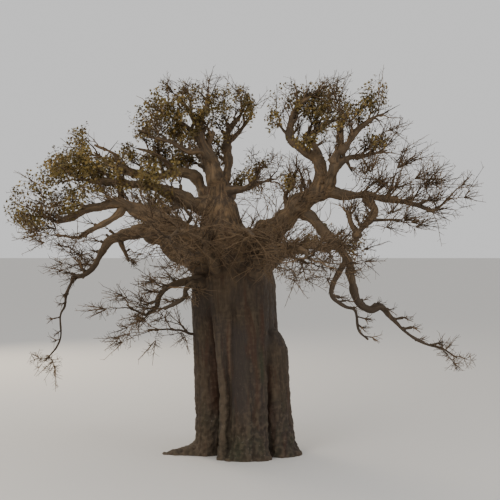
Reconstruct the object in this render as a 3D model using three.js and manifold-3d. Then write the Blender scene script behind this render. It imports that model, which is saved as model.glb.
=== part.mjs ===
// An old baobab: a thick trunk of fused columns, crooked boughs, and the masses of twigs and leaves they carry.
// Millimetres, +Z up. The origin is the centre of the trunk's flat cut at ground level, with -Y the front.
// Places are written in metres and multiplied by METRE where they are read.
import * as THREE from 'three';
import Module from 'manifold-3d';

const wasm = await Module();
wasm.setup();

const METRE = 1000;
const SEAT_GAP = 0.35; // clear gap between a limb and what carries it, in millimetres
const GOLDEN_ANGLE = Math.PI * (3 - Math.sqrt(5));
const QUARTER_TURN = Math.PI / 2;

// The trunk's core: height, centre x, centre y and radius, from the ground cut to the high fork.
const CORE = [
  [0.0, 0.0, 0.0, 1.45],
  [2.4, 0.05, 0.0, 1.4],
  [4.8, -0.15, 0.0, 1.45],
  [6.2, -0.3, 0.0, 1.58],
  [7.2, -0.35, 0.0, 1.66],
  [8.1, -0.45, 0.0, 1.5],
  [9.0, -0.75, 0.0, 1.05],
  [9.9, -0.95, 0.0, 0.78],
  [11.1, -0.98, 0.05, 0.66],
];
const TRUNK_HEIGHT = CORE[CORE.length - 1][0];

// The columns fused round the core: where each stands at its foot and its head, its radii there, and the height
// of its rounded top.
const COLUMNS = [
  { foot: [-1.1, -0.35], head: [-1.4, -0.3], radius: [0.78, 0.82], top: 8.3 },
  { foot: [-0.62, -0.98], head: [-0.75, -0.95], radius: [0.62, 0.66], top: 8.0 },
  { foot: [0.28, -1.0], head: [0.15, -0.85], radius: [0.92, 0.82], top: 8.4 },
  { foot: [1.22, -0.35], head: [1.0, -0.35], radius: [0.9, 0.8], top: 5.3 },
  { foot: [0.95, 0.75], head: [0.4, 0.65], radius: [0.85, 0.9], top: 8.2 },
  { foot: [0.1, 1.15], head: [-0.2, 1.0], radius: [0.84, 0.8], top: 7.6 },
  { foot: [-0.9, 0.8], head: [-1.1, 0.7], radius: [0.85, 0.85], top: 8.1 },
];
const COLUMN_DOME = 1.3; // height over which a column rounds off at its top

// Root flare: a general swelling at the foot, and the surface roots that run out from it.
const FLARE = { reach: 0.2, fade: 0.6 };
const ROOTS = [
  { bearing: 189, reach: 1.35, width: 11, height: 0.55 },
  { bearing: 252, reach: 0.3, width: 9, height: 0.5 },
  { bearing: 342, reach: 0.25, width: 12, height: 0.6 },
  { bearing: 45, reach: 0.6, width: 12, height: 0.6 },
  { bearing: 117, reach: 0.5, width: 11, height: 0.5 },
];
const TRUNK_SIDES = 36;
const TRUNK_RINGS = [
  0, 0.14, 0.3, 0.6, 1.2, 2.2, 3.2, 4.1, 4.6, 5.0, 5.6, 6.4, 7.2, 7.7, 8.2, 8.7, 9.3, 10.1, TRUNK_HEIGHT,
];

// The limbs, each after the one that carries it: the places it bends at, from inside its carrier to its tip,
// and its radius at foot and tip, all in metres.
const LIMB_TAPER = 1.35; // above 1, a limb thins fastest near its foot
const LIMBS = [
  {
    name: 'high_left',
    radius: [0.4, 0.13],
    bends: [
      [-1.1, 0, 10.8], [-1.25, -0.2, 11.9], [-1.6, -0.4, 12.7], [-1.8, -0.5, 13.35],
      [-1.75, -0.5, 13.9], [-1.5, -0.4, 14.35],
    ],
  },
  {
    name: 'high_left_side',
    radius: [0.17, 0.07],
    bends: [
      [-1.78, -0.5, 13.15], [-2.2, -0.85, 13.42], [-2.6, -1.15, 13.65],
    ],
  },
  {
    name: 'high_mid',
    radius: [0.27, 0.11],
    bends: [
      [-0.75, 0.15, 10.8], [-0.68, 0.5, 11.9], [-0.65, 0.8, 12.95], [-0.6, 0.9, 13.6],
      [-0.25, 0.9, 14.1],
    ],
  },
  {
    name: 'centre_spur',
    radius: [0.17, 0.06],
    bends: [
      [-0.7, -0.1, 10.95], [0.05, -0.1, 11.1], [0.4, -0.2, 11.3], [0.65, -0.4, 11.7],
    ],
  },
  {
    name: 'left_upper',
    radius: [0.32, 0.09],
    bends: [
      [-1.3, 0.2, 10.3], [-1.9, 0.9, 11.35], [-2.3, 1.2, 11.75], [-3.1, 1.5, 11.75], [-4.1, 1.8, 11.7],
      [-5.1, 2.0, 11.85], [-5.95, 2.1, 12.3],
    ],
  },
  {
    name: 'left_mid',
    radius: [0.38, 0.1],
    bends: [
      [-1.3, -0.2, 10.1], [-2.35, -1.0, 10.6], [-3.2, -1.6, 10.8], [-4.1, -2.0, 11.05],
      [-4.95, -2.4, 11.2], [-5.8, -2.6, 11.15],
    ],
  },
  {
    name: 'left_arch',
    radius: [0.62, 0.1],
    bends: [
      [-1.2, -0.6, 7.9], [-2.4, -1.6, 8.9], [-3.3, -2.2, 9.6], [-4.25, -2.6, 10.2], [-4.95, -2.8, 10.4],
      [-5.7, -2.9, 10.25], [-6.4, -3.0, 9.9], [-7.2, -3.0, 9.6],
    ],
  },
  {
    name: 'left_spur',
    radius: [0.17, 0.08],
    bends: [
      [-4.7, -2.72, 10.3], [-4.8, -2.9, 9.95], [-5.45, -3.2, 9.5], [-5.95, -3.4, 9.2],
      [-6.25, -3.5, 9.0],
    ],
  },
  {
    name: 'left_low',
    radius: [0.78, 0.31],
    bends: [
      [-1.1, 0.4, 7.4], [-2.1, 0.8, 8.1], [-2.9, 1.0, 8.6], [-3.7, 1.3, 9.05], [-4.45, 1.5, 9.35],
    ],
  },
  {
    name: 'left_low_drop',
    radius: [0.3, 0.09],
    bends: [
      [-4.4, 1.5, 9.33], [-5.2, 1.6, 9.25], [-5.75, 1.7, 8.9], [-6.15, 1.7, 8.35], [-6.45, 1.6, 7.8],
      [-6.9, 1.5, 7.4], [-7.4, 1.5, 7.25],
    ],
  },
  {
    name: 'left_hanging',
    radius: [0.08, 0.03],
    bends: [
      [-7.38, 1.5, 7.25], [-7.65, 1.4, 6.6], [-7.75, 1.3, 6.05], [-7.9, 1.2, 5.65], [-7.85, 1.1, 4.8],
      [-8.0, 1.0, 4.3], [-8.25, 0.9, 3.95],
    ],
  },
  {
    name: 'low_left',
    radius: [0.24, 0.07],
    bends: [
      [-1.5, -0.7, 7.4], [-2.5, -1.6, 7.2], [-3.0, -1.9, 7.0], [-3.35, -2.0, 6.6], [-3.45, -2.0, 6.15],
      [-3.8, -2.1, 5.9],
    ],
  },
  {
    name: 'side_spur',
    radius: [0.11, 0.06],
    bends: [
      [-1.6, -0.4, 5.0], [-2.15, -0.6, 5.02], [-2.35, -0.7, 5.12],
    ],
  },
  {
    name: 'right_main',
    radius: [0.95, 0.4],
    bends: [
      [-0.1, -0.4, 7.4], [0.3, -0.6, 8.6], [0.95, -0.9, 9.3], [1.95, -1.3, 10.0], [2.65, -1.4, 10.6],
      [3.15, -1.4, 11.15],
    ],
  },
  {
    name: 'right_high',
    radius: [0.33, 0.1],
    bends: [
      [3.1, -1.4, 11.0], [3.2, -1.2, 11.65], [3.05, -1.1, 12.2], [2.45, -1.0, 12.7], [2.0, -0.9, 13.15],
      [2.05, -0.8, 13.9], [2.3, -0.7, 14.4], [2.6, -0.7, 14.65],
    ],
  },
  {
    name: 'right_high_side',
    radius: [0.17, 0.07],
    bends: [
      [3.08, -1.1, 12.15], [2.9, -0.4, 12.8], [2.65, 0.0, 13.25], [3.2, 0.4, 13.6], [3.7, 0.7, 13.9],
    ],
  },
  {
    name: 'right_mid',
    radius: [0.3, 0.08],
    bends: [
      [3.2, -1.45, 10.95], [3.6, -1.9, 11.5], [3.75, -2.1, 12.1], [3.9, -2.2, 12.55], [3.9, -2.3, 13.1],
      [3.85, -2.3, 13.5],
    ],
  },
  {
    name: 'right_mid_side',
    radius: [0.15, 0.07],
    bends: [
      [3.89, -2.2, 12.45], [4.3, -2.4, 12.9], [4.65, -2.6, 13.3], [5.05, -2.8, 13.65],
    ],
  },
  {
    name: 'right_mid_low',
    radius: [0.16, 0.07],
    bends: [
      [3.7, -2.05, 11.9], [4.25, -1.7, 12.15], [4.8, -1.4, 12.25], [5.3, -1.2, 12.4],
    ],
  },
  {
    name: 'right_long',
    radius: [0.33, 0.09],
    bends: [
      [2.85, -1.4, 10.72], [3.9, -1.6, 10.75], [4.8, -1.9, 10.6], [5.85, -2.2, 10.5], [6.6, -2.5, 10.3],
      [7.4, -2.8, 10.0],
    ],
  },
  {
    name: 'right_drop',
    radius: [0.17, 0.08],
    bends: [
      [5.0, -1.95, 10.57], [5.2, -2.3, 10.15], [5.0, -2.6, 9.7], [4.6, -2.8, 9.3], [4.4, -2.8, 8.85],
    ],
  },
  {
    name: 'right_low',
    radius: [0.36, 0.19],
    bends: [
      [2.2, -1.35, 10.15], [2.85, -1.9, 9.75], [3.2, -2.2, 9.25], [3.7, -2.5, 8.75], [4.1, -2.7, 8.15],
      [4.2, -2.8, 7.65],
    ],
  },
  {
    name: 'right_hanging',
    radius: [0.185, 0.05],
    bends: [
      [4.2, -2.8, 7.68], [4.4, -2.8, 7.0], [4.6, -2.8, 6.4], [5.0, -2.8, 6.15], [5.45, -2.8, 6.3],
      [5.85, -2.8, 5.8], [6.35, -2.9, 5.25], [7.1, -3.0, 4.85], [7.7, -3.0, 4.7],
    ],
  },
  {
    name: 'right_low_drop',
    radius: [0.13, 0.04],
    bends: [
      [4.08, -2.7, 8.1], [3.8, -3.0, 7.65], [3.5, -3.2, 7.15], [3.45, -3.3, 6.7], [3.95, -3.4, 6.3],
      [4.35, -3.4, 6.15], [4.5, -3.4, 5.4], [4.85, -3.4, 5.05],
    ],
  },
  {
    name: 'front_left',
    radius: [0.42, 0.1],
    bends: [
      [-0.7, -0.9, 7.3], [-1.3, -2.3, 8.4], [-1.7, -3.4, 9.0], [-2.2, -4.5, 9.2], [-2.6, -5.5, 9.05],
    ],
  },
  {
    name: 'front_right',
    radius: [0.42, 0.1],
    bends: [
      [0.3, -0.9, 7.2], [0.9, -2.3, 8.1], [1.3, -3.4, 8.5], [1.8, -4.5, 8.6], [2.3, -5.4, 8.4],
    ],
  },
  {
    name: 'back_left',
    radius: [0.5, 0.12],
    bends: [
      [-0.8, 0.6, 7.5], [-1.9, 2.0, 8.8], [-2.9, 3.3, 9.5], [-3.7, 4.6, 9.85], [-4.2, 5.6, 10.0],
    ],
  },
  {
    name: 'back_mid',
    radius: [0.42, 0.11],
    bends: [
      [-0.7, 0.5, 8.4], [-0.95, 1.9, 9.8], [-0.8, 3.0, 10.7], [-0.2, 4.2, 11.2], [0.7, 5.1, 11.5],
    ],
  },
  {
    name: 'back_right',
    radius: [0.48, 0.12],
    bends: [
      [0.3, 0.6, 7.0], [1.3, 1.9, 8.1], [2.2, 3.0, 8.5], [3.1, 4.1, 8.6], [3.9, 5.1, 8.4],
    ],
  },
  {
    name: 'back_high',
    radius: [0.3, 0.09],
    bends: [
      [-1.1, 0.3, 10.3], [-1.4, 1.3, 11.6], [-1.8, 2.2, 12.4], [-2.0, 2.9, 12.7],
    ],
  },
];

// The masses of twigs: the middle of each one's space and the space's half sizes, in metres. A mass grows from
// the tip of the limb of its own name, or from the limb and the share of its length given. A leafy mass has leaf
// sprays on its twigs, and the others are bare.
const MASSES = [
  { name: 'high_left', middle: [-1.5, -0.4, 14.95], reach: [1.25, 1.2, 0.85], leafy: true },
  { name: 'high_left_side', middle: [-3.3, -1.5, 14.15], reach: [1.15, 1.3, 1.3], leafy: true },
  { name: 'high_mid', middle: [0.1, 0.9, 14.65], reach: [0.8, 1.1, 1.0], leafy: true },
  { name: 'centre', limb: 'centre_spur', middle: [0.85, -0.4, 12.0], reach: [0.6, 0.7, 0.5], leafy: true },
  { name: 'left_upper', middle: [-6.6, 2.2, 12.75], reach: [1.35, 1.5, 1.05], leafy: true },
  {
    name: 'left_inner', limb: 'left_upper', along: 0.55,
    middle: [-3.7, 1.5, 12.65], reach: [1.5, 1.4, 0.85], leafy: true,
  },
  { name: 'left_mid', middle: [-6.7, -2.8, 11.4], reach: [1.45, 1.5, 0.95], leafy: true },
  { name: 'left_arch', middle: [-8.05, -3.0, 10.05], reach: [1.25, 1.5, 0.95], leafy: true },
  { name: 'left_spur', middle: [-7.1, -3.8, 9.1], reach: [1.05, 1.1, 0.5], leafy: false },
  {
    name: 'left_low', limb: 'left_low_drop', along: 0.86,
    middle: [-7.2, 1.4, 8.05], reach: [0.95, 1.2, 0.7], leafy: false,
  },
  { name: 'left_hanging', middle: [-8.5, 0.8, 3.7], reach: [0.5, 0.6, 0.35], leafy: false },
  { name: 'low_left', middle: [-4.6, -2.3, 6.3], reach: [1.0, 1.1, 0.6], leafy: false },
  { name: 'side_spur', middle: [-3.9, -0.9, 5.2], reach: [1.75, 1.2, 0.75], leafy: false },
  { name: 'right_high', middle: [3.05, -0.7, 15.0], reach: [1.35, 1.2, 0.8], leafy: true },
  {
    name: 'right_inner', limb: 'right_high', along: 0.6,
    middle: [1.4, -0.9, 13.7], reach: [0.6, 0.9, 0.85], leafy: true,
  },
  {
    name: 'right_side', limb: 'right_high_side',
    middle: [3.95, 1.0, 14.2], reach: [0.9, 1.2, 0.65], leafy: true,
  },
  { name: 'right_mid', middle: [4.1, -2.4, 13.85], reach: [0.7, 0.9, 0.6], leafy: true },
  { name: 'right_mid_side', middle: [5.5, -3.0, 13.8], reach: [0.95, 1.0, 0.8], leafy: true },
  { name: 'right_mid_low', middle: [5.9, -1.0, 12.55], reach: [1.15, 1.2, 0.8], leafy: true },
  { name: 'right_long', middle: [8.2, -3.0, 10.7], reach: [1.2, 1.2, 0.95], leafy: false },
  {
    name: 'right_fan', limb: 'right_long', along: 0.62,
    middle: [6.0, -2.3, 11.3], reach: [1.35, 1.2, 0.65], leafy: false,
  },
  { name: 'right_drop', along: 0.55, middle: [6.2, -3.1, 9.65], reach: [1.0, 0.9, 0.45], leafy: false },
  { name: 'right_hanging', middle: [8.35, -3.1, 4.3], reach: [0.75, 0.8, 0.45], leafy: false },
  { name: 'front_left', middle: [-2.7, -6.4, 8.9], reach: [1.5, 1.5, 1.0], leafy: false },
  { name: 'front_right', middle: [2.5, -6.3, 8.1], reach: [1.6, 1.5, 0.95], leafy: false },
  { name: 'back_left', middle: [-4.4, 6.4, 10.8], reach: [1.7, 1.6, 1.15], leafy: true },
  { name: 'back_mid', middle: [1.5, 5.9, 11.8], reach: [1.5, 1.6, 1.15], leafy: true },
  { name: 'back_right', middle: [4.3, 6.0, 8.7], reach: [1.5, 1.6, 1.1], leafy: true },
  { name: 'back_high', middle: [-2.2, 3.5, 13.2], reach: [1.35, 1.4, 1.0], leafy: true },
];

// The growth rule of a mass. A stem runs to the middle of the space. Each level's twigs then reach for goals
// spread evenly through a shell of it, in shares of its half sizes, and their count grows with its area in square
// metres. Radii and leaf sizes are in millimetres.
const STEM = { share: 0.85, widest: 110, taper: 0.6, steps: 3, bareFoot: 0.55 };
const LEAFY_LEVELS = [
  { base: 3, perArea: 2.2, shell: [0.92, 1], radius: 36, tip: 11, steps: 2 },
  { base: 2, perArea: 4, shell: [0.4, 0.95], radius: 12, tip: 9, steps: 0 },
];
const BARE_LEVELS = [
  { base: 2, perArea: 2, shell: [0.92, 1], radius: 36, tip: 10, steps: 2 },
  { base: 2, perArea: 3, shell: [0.6, 0.98], radius: 20, tip: 8, steps: 1 },
];
const BACKSTEP = 0.4; // a twig springs this share of its goal's distance back along the wood nearest to the goal
const FORK_TAPER = 0.5; // a twig's radius at its foot, in shares of its parent's there
const CARRY_ON = 0.18; // and follows that wood's direction for this share of its own length
const JITTER = 0.24; // how far a goal strays from its even place, in shares of the space
const LEAF = { length: 720, width: 360, thickness: 24, widest: 0.45, mostOfTwig: 0.6 };
const PATH_SAMPLES = 8; // points along a path that are tested against the space and the limbs
const LIMB_CLEARANCE = 40;
const SPACE_MARGIN = 0.03;
const KEEP_OFF_GROUND = 300;
const SLIVER = 1.5; // faces are merged where that moves no surface further than this, in millimetres
const SEEDS = { first: 1201, step: 97 };

// Seeded random numbers from 0 to 1.
function seeded(seed) {
  let state = seed;
  return () => {
    state = (state * 16807) % 2147483647;
    return state / 2147483647;
  };
}

const metres = (place) => new THREE.Vector3(...place).multiplyScalar(METRE);

// A value between stations of [height, ...values], eased so that the outline has no kinks.
function stationAt(stations, height, column) {
  const above = stations.findIndex((station) => station[0] > height);
  const i = above < 0 ? stations.length - 1 : above;
  const [low, high] = [stations[i - 1], stations[i]];
  const share = (height - low[0]) / (high[0] - low[0]);
  const eased = (share + THREE.MathUtils.smoothstep(share, 0, 1)) / 2;
  return THREE.MathUtils.lerp(low[column], high[column], eased);
}

// A closed body through rings of points. The last ring may be a single point. Other end rings are capped flat.
function loft(rings) {
  const positions = rings.flat().flatMap((p) => [p.x, p.y, p.z]);
  const index = [];
  let first = 0;
  for (let r = 0; r < rings.length - 1; r += 1) {
    const sides = rings[r].length;
    const next = first + sides;
    const pointed = rings[r + 1].length === 1;
    for (let s = 0; s < sides; s += 1) {
      const t = (s + 1) % sides;
      if (pointed) index.push(first + s, first + t, next);
      else index.push(first + s, first + t, next + t, first + s, next + t, next + s);
    }
    first = next;
  }
  for (const [ring, start, facesOn] of [[rings[0], 0, false], [rings[rings.length - 1], first, true]]) {
    if (ring.length === 1) continue;
    if (ring.length === 3) {
      index.push(...(facesOn ? [start, start + 1, start + 2] : [start + 2, start + 1, start]));
      continue;
    }
    const hub = positions.length / 3;
    const centre = ring.reduce((sum, p) => sum.add(p), new THREE.Vector3()).divideScalar(ring.length);
    positions.push(centre.x, centre.y, centre.z);
    for (let s = 0; s < ring.length; s += 1) {
      const [a, b] = [start + s, start + ((s + 1) % ring.length)];
      index.push(...(facesOn ? [hub, a, b] : [hub, b, a]));
    }
  }
  const geometry = new THREE.BufferGeometry();
  geometry.setAttribute('position', new THREE.Float32BufferAttribute(positions, 3));
  geometry.setIndex(index);
  return geometry;
}

function solidOf(geometry) {
  return new wasm.Manifold(new wasm.Mesh({
    numProp: 3,
    vertProperties: geometry.getAttribute('position').array,
    triVerts: new Uint32Array(geometry.index.array),
  }));
}

// The largest body of a solid, without the loose scraps a cut leaves.
function mainBody(solid) {
  return solid.decompose().reduce((best, body) => (body.volume() > best.volume() ? body : best));
}

// How far a column stands out along a bearing, measured from the trunk's axis, or 0 where the bearing misses it.
function columnReach(column, axis, height, bearing) {
  if (height >= column.top) return 0;
  const up = height / column.top;
  const domed = Math.max(0, (height - column.top + COLUMN_DOME) / COLUMN_DOME);
  const radius = THREE.MathUtils.lerp(...column.radius, up) * Math.sqrt(1 - domed * domed);
  const x = THREE.MathUtils.lerp(column.foot[0], column.head[0], up) - axis.x;
  const y = THREE.MathUtils.lerp(column.foot[1], column.head[1], up) - axis.y;
  const along = x * Math.cos(bearing) + y * Math.sin(bearing);
  const spare = radius * radius - (x * x + y * y - along * along);
  return spare > 0 ? along + Math.sqrt(spare) : 0;
}

function trunkAxis(height) {
  return new THREE.Vector3(stationAt(CORE, height, 1), stationAt(CORE, height, 2), height);
}

// The trunk's radius in metres at a height and a bearing.
function trunkRadius(height, bearing) {
  const axis = trunkAxis(height);
  const reaches = COLUMNS.map((column) => columnReach(column, axis, height, bearing));
  const swelling = FLARE.reach * Math.exp(-height / FLARE.fade);
  const roots = ROOTS.map((root) => {
    const turn = THREE.MathUtils.radToDeg(bearing) - root.bearing;
    const aside = (((turn + 180) % 360) + 360) % 360 - 180;
    const low = Math.max(0, 1 - height / root.height);
    return root.reach * Math.exp(-((aside / root.width) ** 2)) * low * low;
  });
  return Math.max(stationAt(CORE, height, 3), ...reaches) + swelling + Math.max(...roots);
}

function trunkGeometry(grown = 0) {
  const rings = TRUNK_RINGS.map((height, i) => {
    const axis = trunkAxis(height);
    const lift = i === TRUNK_RINGS.length - 1 ? grown : 0;
    return Array.from({ length: TRUNK_SIDES }, (_, s) => {
      const bearing = (s / TRUNK_SIDES) * 2 * Math.PI;
      const radius = trunkRadius(height, bearing) * METRE + grown;
      return new THREE.Vector3(
        axis.x * METRE + radius * Math.cos(bearing),
        axis.y * METRE + radius * Math.sin(bearing),
        height * METRE + lift,
      );
    });
  });
  return loft(rings);
}

// A direction square to another, for the first corner of a section.
function squareTo(direction) {
  const aside = Math.abs(direction.z) > 0.9 ? new THREE.Vector3(1, 0, 0) : new THREE.Vector3(0, 0, 1);
  return aside.cross(direction).normalize();
}

// The heading at each point of a line and two directions square to it, carried along the line without twist.
function framesAlong(points) {
  let across = null;
  return points.map((_, i) => {
    const ahead = points[Math.min(i + 1, points.length - 1)];
    const behind = points[Math.max(i - 1, 0)];
    const heading = ahead.clone().sub(behind).normalize();
    if (across) across = across.clone().addScaledVector(heading, -across.dot(heading)).normalize();
    else across = squareTo(heading);
    return { heading, across, other: heading.clone().cross(across) };
  });
}

// A point off a line's own, so far away and so far round.
function offLine(point, frame, distance, turn) {
  return point.clone()
    .addScaledVector(frame.across, distance * Math.cos(turn))
    .addScaledVector(frame.other, distance * Math.sin(turn));
}

// Rings of a regular section with so many sides round a line of points.
function ringsAlong(points, frames, radii, sides, turn = 0) {
  return radii.map((radius, i) => Array.from({ length: sides }, (_, s) =>
    offLine(points[i], frames[i], radius, turn + (s / sides) * 2 * Math.PI)));
}

const limbRadius = (limb, share) =>
  METRE * THREE.MathUtils.lerp(limb.radius[1], limb.radius[0], (1 - share) ** LIMB_TAPER);

const limbCurve = (limb) => new THREE.CatmullRomCurve3(limb.bends.map(metres), false, 'catmullrom', 0.5);

// A limb's body. Grown, it is larger all over and longer at both ends.
function limbGeometry(limb, grown = 0) {
  const ringStep = 800;
  const fewestSteps = 3;
  const sidesByFootRadius = [[0.25, 8], [0.1, 6], [0, 5]];
  const curve = limbCurve(limb);
  const steps = Math.max(fewestSteps, Math.ceil(curve.getLength() / ringStep));
  const [, sides] = sidesByFootRadius.find(([radius]) => limb.radius[0] >= radius);
  const points = curve.getSpacedPoints(steps);
  const radii = points.map((_, i) => limbRadius(limb, i / steps) + grown);
  points[0].addScaledVector(curve.getTangentAt(0), -grown);
  points[steps].addScaledVector(curve.getTangentAt(1), grown);
  return loft(ringsAlong(points, framesAlong(points), radii, sides));
}

// Round samples along every limb, which twigs keep clear of.
function limbSamples(limb) {
  const spacing = 120;
  const curve = limbCurve(limb);
  const count = Math.ceil(curve.getLength() / spacing);
  return curve.getSpacedPoints(count).map((at, i) => ({ at, radius: limbRadius(limb, i / count), limb }));
}

// How far out a point lies in a mass's space: 0 in its middle and 1 on its skin.
function depthIn(mass, point) {
  const from = point.clone().sub(mass.heart);
  return Math.hypot(from.x / mass.span.x, from.y / mass.span.y, from.z / mass.span.z);
}

// Whether a point may hold wood or leaf of a mass. Near the stem's foot, outside the space, only the spaces of
// other masses and the ground are kept off.
function insideSpace(mass, point, nearFoot) {
  const depth = depthIn(mass, point);
  if (point.z < KEEP_OFF_GROUND || (depth > 1 + SPACE_MARGIN && !nearFoot)) return false;
  return !masses.some((other) => other !== mass && depthIn(other, point) < Math.min(depth, 1) + SPACE_MARGIN);
}

function clearOfTrunk(point, radius) {
  const height = Math.min(point.z / METRE, TRUNK_HEIGHT);
  const reach = radius + LIMB_CLEARANCE;
  if (point.z > TRUNK_HEIGHT * METRE + reach) return true;
  const axis = trunkAxis(height).multiplyScalar(METRE);
  const bearing = Math.atan2(point.y - axis.y, point.x - axis.x);
  return Math.hypot(point.x - axis.x, point.y - axis.y) > trunkRadius(height, bearing) * METRE + reach;
}

// Whether a twig's middle point stands clear of every limb. A mass is cut clear of the limb that carries it, so
// from that limb only the point itself keeps clear.
function clearOfLimbs(mass, point, radius) {
  return obstacles.every(({ at, radius: thickness, limb }) => {
    const reach = limb === mass.carrier ? thickness : thickness + radius + LIMB_CLEARANCE;
    return at.distanceTo(point) > reach;
  });
}

// The i-th of count goals spread evenly round a mass, strayed a little by the seed.
function goalIn(mass, i, count, shell, random) {
  const up = 1 - (2 * (i + 0.5)) / count;
  const turn = i * GOLDEN_ANGLE + mass.turn;
  const flat = Math.sqrt(1 - up * up);
  const goal = new THREE.Vector3(flat * Math.cos(turn), flat * Math.sin(turn), up);
  goal.x += JITTER * (random() - 0.5);
  goal.y += JITTER * (random() - 0.5);
  goal.z += JITTER * (random() - 0.5);
  goal.normalize().multiplyScalar(THREE.MathUtils.lerp(shell[0], shell[1], random()));
  return goal.multiply(mass.span).add(mass.heart);
}

// Where a twig springs from: the wood point nearest to its goal, then back towards the foot.
function springPoint(wood, goal) {
  let [far, shortest] = [1, Infinity];
  wood.forEach((point, i) => {
    const distance = point.at.distanceTo(goal);
    if (point.back >= 0 && distance < shortest) [far, shortest] = [i, distance];
  });
  let spare = BACKSTEP * shortest;
  let step = wood[far].at.distanceTo(wood[wood[far].back].at);
  while (spare > step && wood[wood[far].back].back >= 0) {
    spare -= step;
    far = wood[far].back;
    step = wood[far].at.distanceTo(wood[wood[far].back].at);
  }
  const near = wood[far].back;
  const share = Math.min(spare / step, wood[near].back < 0 ? 1 - STEM.bareFoot : 1);
  return {
    at: wood[far].at.clone().lerp(wood[near].at, share),
    heading: wood[far].at.clone().sub(wood[near].at).normalize(),
    radius: THREE.MathUtils.lerp(wood[far].radius, wood[near].radius, share),
    back: near,
  };
}

// The path of a twig that leaves its spring along the wood there and bends to its goal.
function twigPath(from, heading, goal) {
  const bend = from.clone().addScaledVector(heading, CARRY_ON * from.distanceTo(goal));
  return new THREE.QuadraticBezierCurve3(from, bend, goal);
}

// The share of a path that is a leaf spray. A twig of no steps is all leaf.
function leafShare(mass, path, level) {
  if (!mass.leafy) return 0;
  return Math.min(level.steps === 0 ? 1 : LEAF.mostOfTwig, LEAF.length / path.getLength());
}

// Whether a whole path lies in the mass's space and touches neither trunk nor limb.
function pathFits(mass, path, level) {
  const wood = 1 - leafShare(mass, path, level);
  return path.getPoints(PATH_SAMPLES).slice(1).every((point, i) => {
    const share = (i + 1) / PATH_SAMPLES;
    const halfWidth = share > wood ? LEAF.width / 2 : level.radius;
    const inside = insideSpace(mass, point, share < 0.5);
    return inside && clearOfTrunk(point, halfWidth) && clearOfLimbs(mass, point, halfWidth);
  });
}

// A twig on a path: rings of wood, then a leaf spray where it has one, and its goal as the tip.
function makeTwig(mass, path, level, footRadius, turn) {
  const woodShare = 1 - Math.max(leafShare(mass, path, level), 1 / (level.steps + 1));
  const along = Array.from({ length: level.steps + 1 }, (_, i) => i / Math.max(1, level.steps));
  const line = along.map((share) => path.getPoint(woodShare * share));
  const radii = along.map((share) => THREE.MathUtils.lerp(footRadius, level.tip, share));
  return { line, radii, tip: path.getPoint(1), turn, leafy: mass.leafy };
}

function addWood(wood, twig, root) {
  twig.line.forEach((at, i) => {
    wood.push({ at, radius: twig.radii[i], back: i === 0 ? root : wood.length - 1 });
  });
}

// The stem of a mass and its twigs, level by level. A twig that would leave the space or touch a limb is skipped.
function growTwigs(mass) {
  const curve = limbCurve(mass.carrier);
  const along = mass.along ?? 1;
  const heading = curve.getTangentAt(along);
  const foot = curve.getPointAt(along);
  if (along === 1) foot.addScaledVector(heading, SEAT_GAP);
  else heading.copy(mass.heart).sub(foot).normalize();
  const width = Math.min(limbRadius(mass.carrier, along) * STEM.share, STEM.widest);
  const line = twigPath(foot, heading, mass.heart).getPoints(STEM.steps);
  const radii = line.map((_, i) => THREE.MathUtils.lerp(width, width * STEM.taper, i / STEM.steps));
  const twigs = [{ line, radii, turn: 0 }];
  const wood = [];
  addWood(wood, twigs[0], -1);
  const random = seeded(mass.seed);
  const area = Math.cbrt(mass.span.x * mass.span.y * mass.span.z) ** 2 / METRE ** 2;
  for (const level of mass.leafy ? LEAFY_LEVELS : BARE_LEVELS) {
    const grown = wood.slice();
    const count = Math.round(level.base + level.perArea * area);
    for (let i = 0; i < count; i += 1) {
      const goal = goalIn(mass, i, count, level.shell, random);
      const turn = random() * 2 * Math.PI;
      const spring = springPoint(grown, goal);
      if (level.steps === 0) goal.sub(spring.at).setLength(LEAF.length).add(spring.at);
      const path = twigPath(spring.at, spring.heading, goal);
      if (!pathFits(mass, path, level)) continue;
      const footRadius = Math.min(level.radius, spring.radius * FORK_TAPER);
      const twig = makeTwig(mass, path, level, footRadius, turn);
      addWood(wood, twig, spring.back);
      twigs.push(twig);
    }
  }
  return twigs;
}

// A leaf spray's widest ring: two edges, and a ridge between them that gives it its thickness.
function leafRing(twig, frame) {
  const base = twig.line[twig.line.length - 1];
  const middle = base.clone().lerp(twig.tip, LEAF.widest);
  return [
    offLine(middle, frame, LEAF.thickness, twig.turn),
    offLine(middle, frame, LEAF.width / 2, twig.turn + QUARTER_TURN),
    offLine(middle, frame, LEAF.width / 2, twig.turn - QUARTER_TURN),
  ];
}

function twigGeometry(twig) {
  const points = twig.tip ? [...twig.line, twig.tip] : twig.line;
  const frames = framesAlong(points);
  const rings = ringsAlong(twig.line, frames, twig.radii, 3, twig.turn);
  if (twig.leafy) rings.push(leafRing(twig, frames[points.length - 1]));
  if (twig.tip) rings.push([twig.tip]);
  return loft(rings);
}

// The body of a mass: its stem and twigs fused, cut clear of the limb it springs from.
function massSolid(mass) {
  const fused = wasm.Manifold.union(growTwigs(mass).map((twig) => solidOf(twigGeometry(twig))));
  return mainBody(fused.simplify(SLIVER).subtract(solidOf(limbGeometry(mass.carrier, SEAT_GAP))));
}

const masses = MASSES.map((mass, i) => ({
  ...mass,
  carrier: LIMBS.find((limb) => limb.name === (mass.limb ?? mass.name)),
  heart: metres(mass.middle),
  span: metres(mass.reach),
  turn: i,
  seed: SEEDS.first + SEEDS.step * i,
}));
const obstacles = LIMBS.flatMap(limbSamples);

const BARK = new THREE.MeshStandardMaterial({ color: 0x5a4a40, roughness: 0.92, metalness: 0 });
const TWIG = new THREE.MeshStandardMaterial({ color: 0x4e3f34, roughness: 0.9, metalness: 0 });
const LEAVES = new THREE.MeshStandardMaterial({ color: 0x6a6234, roughness: 0.75, metalness: 0 });

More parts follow.
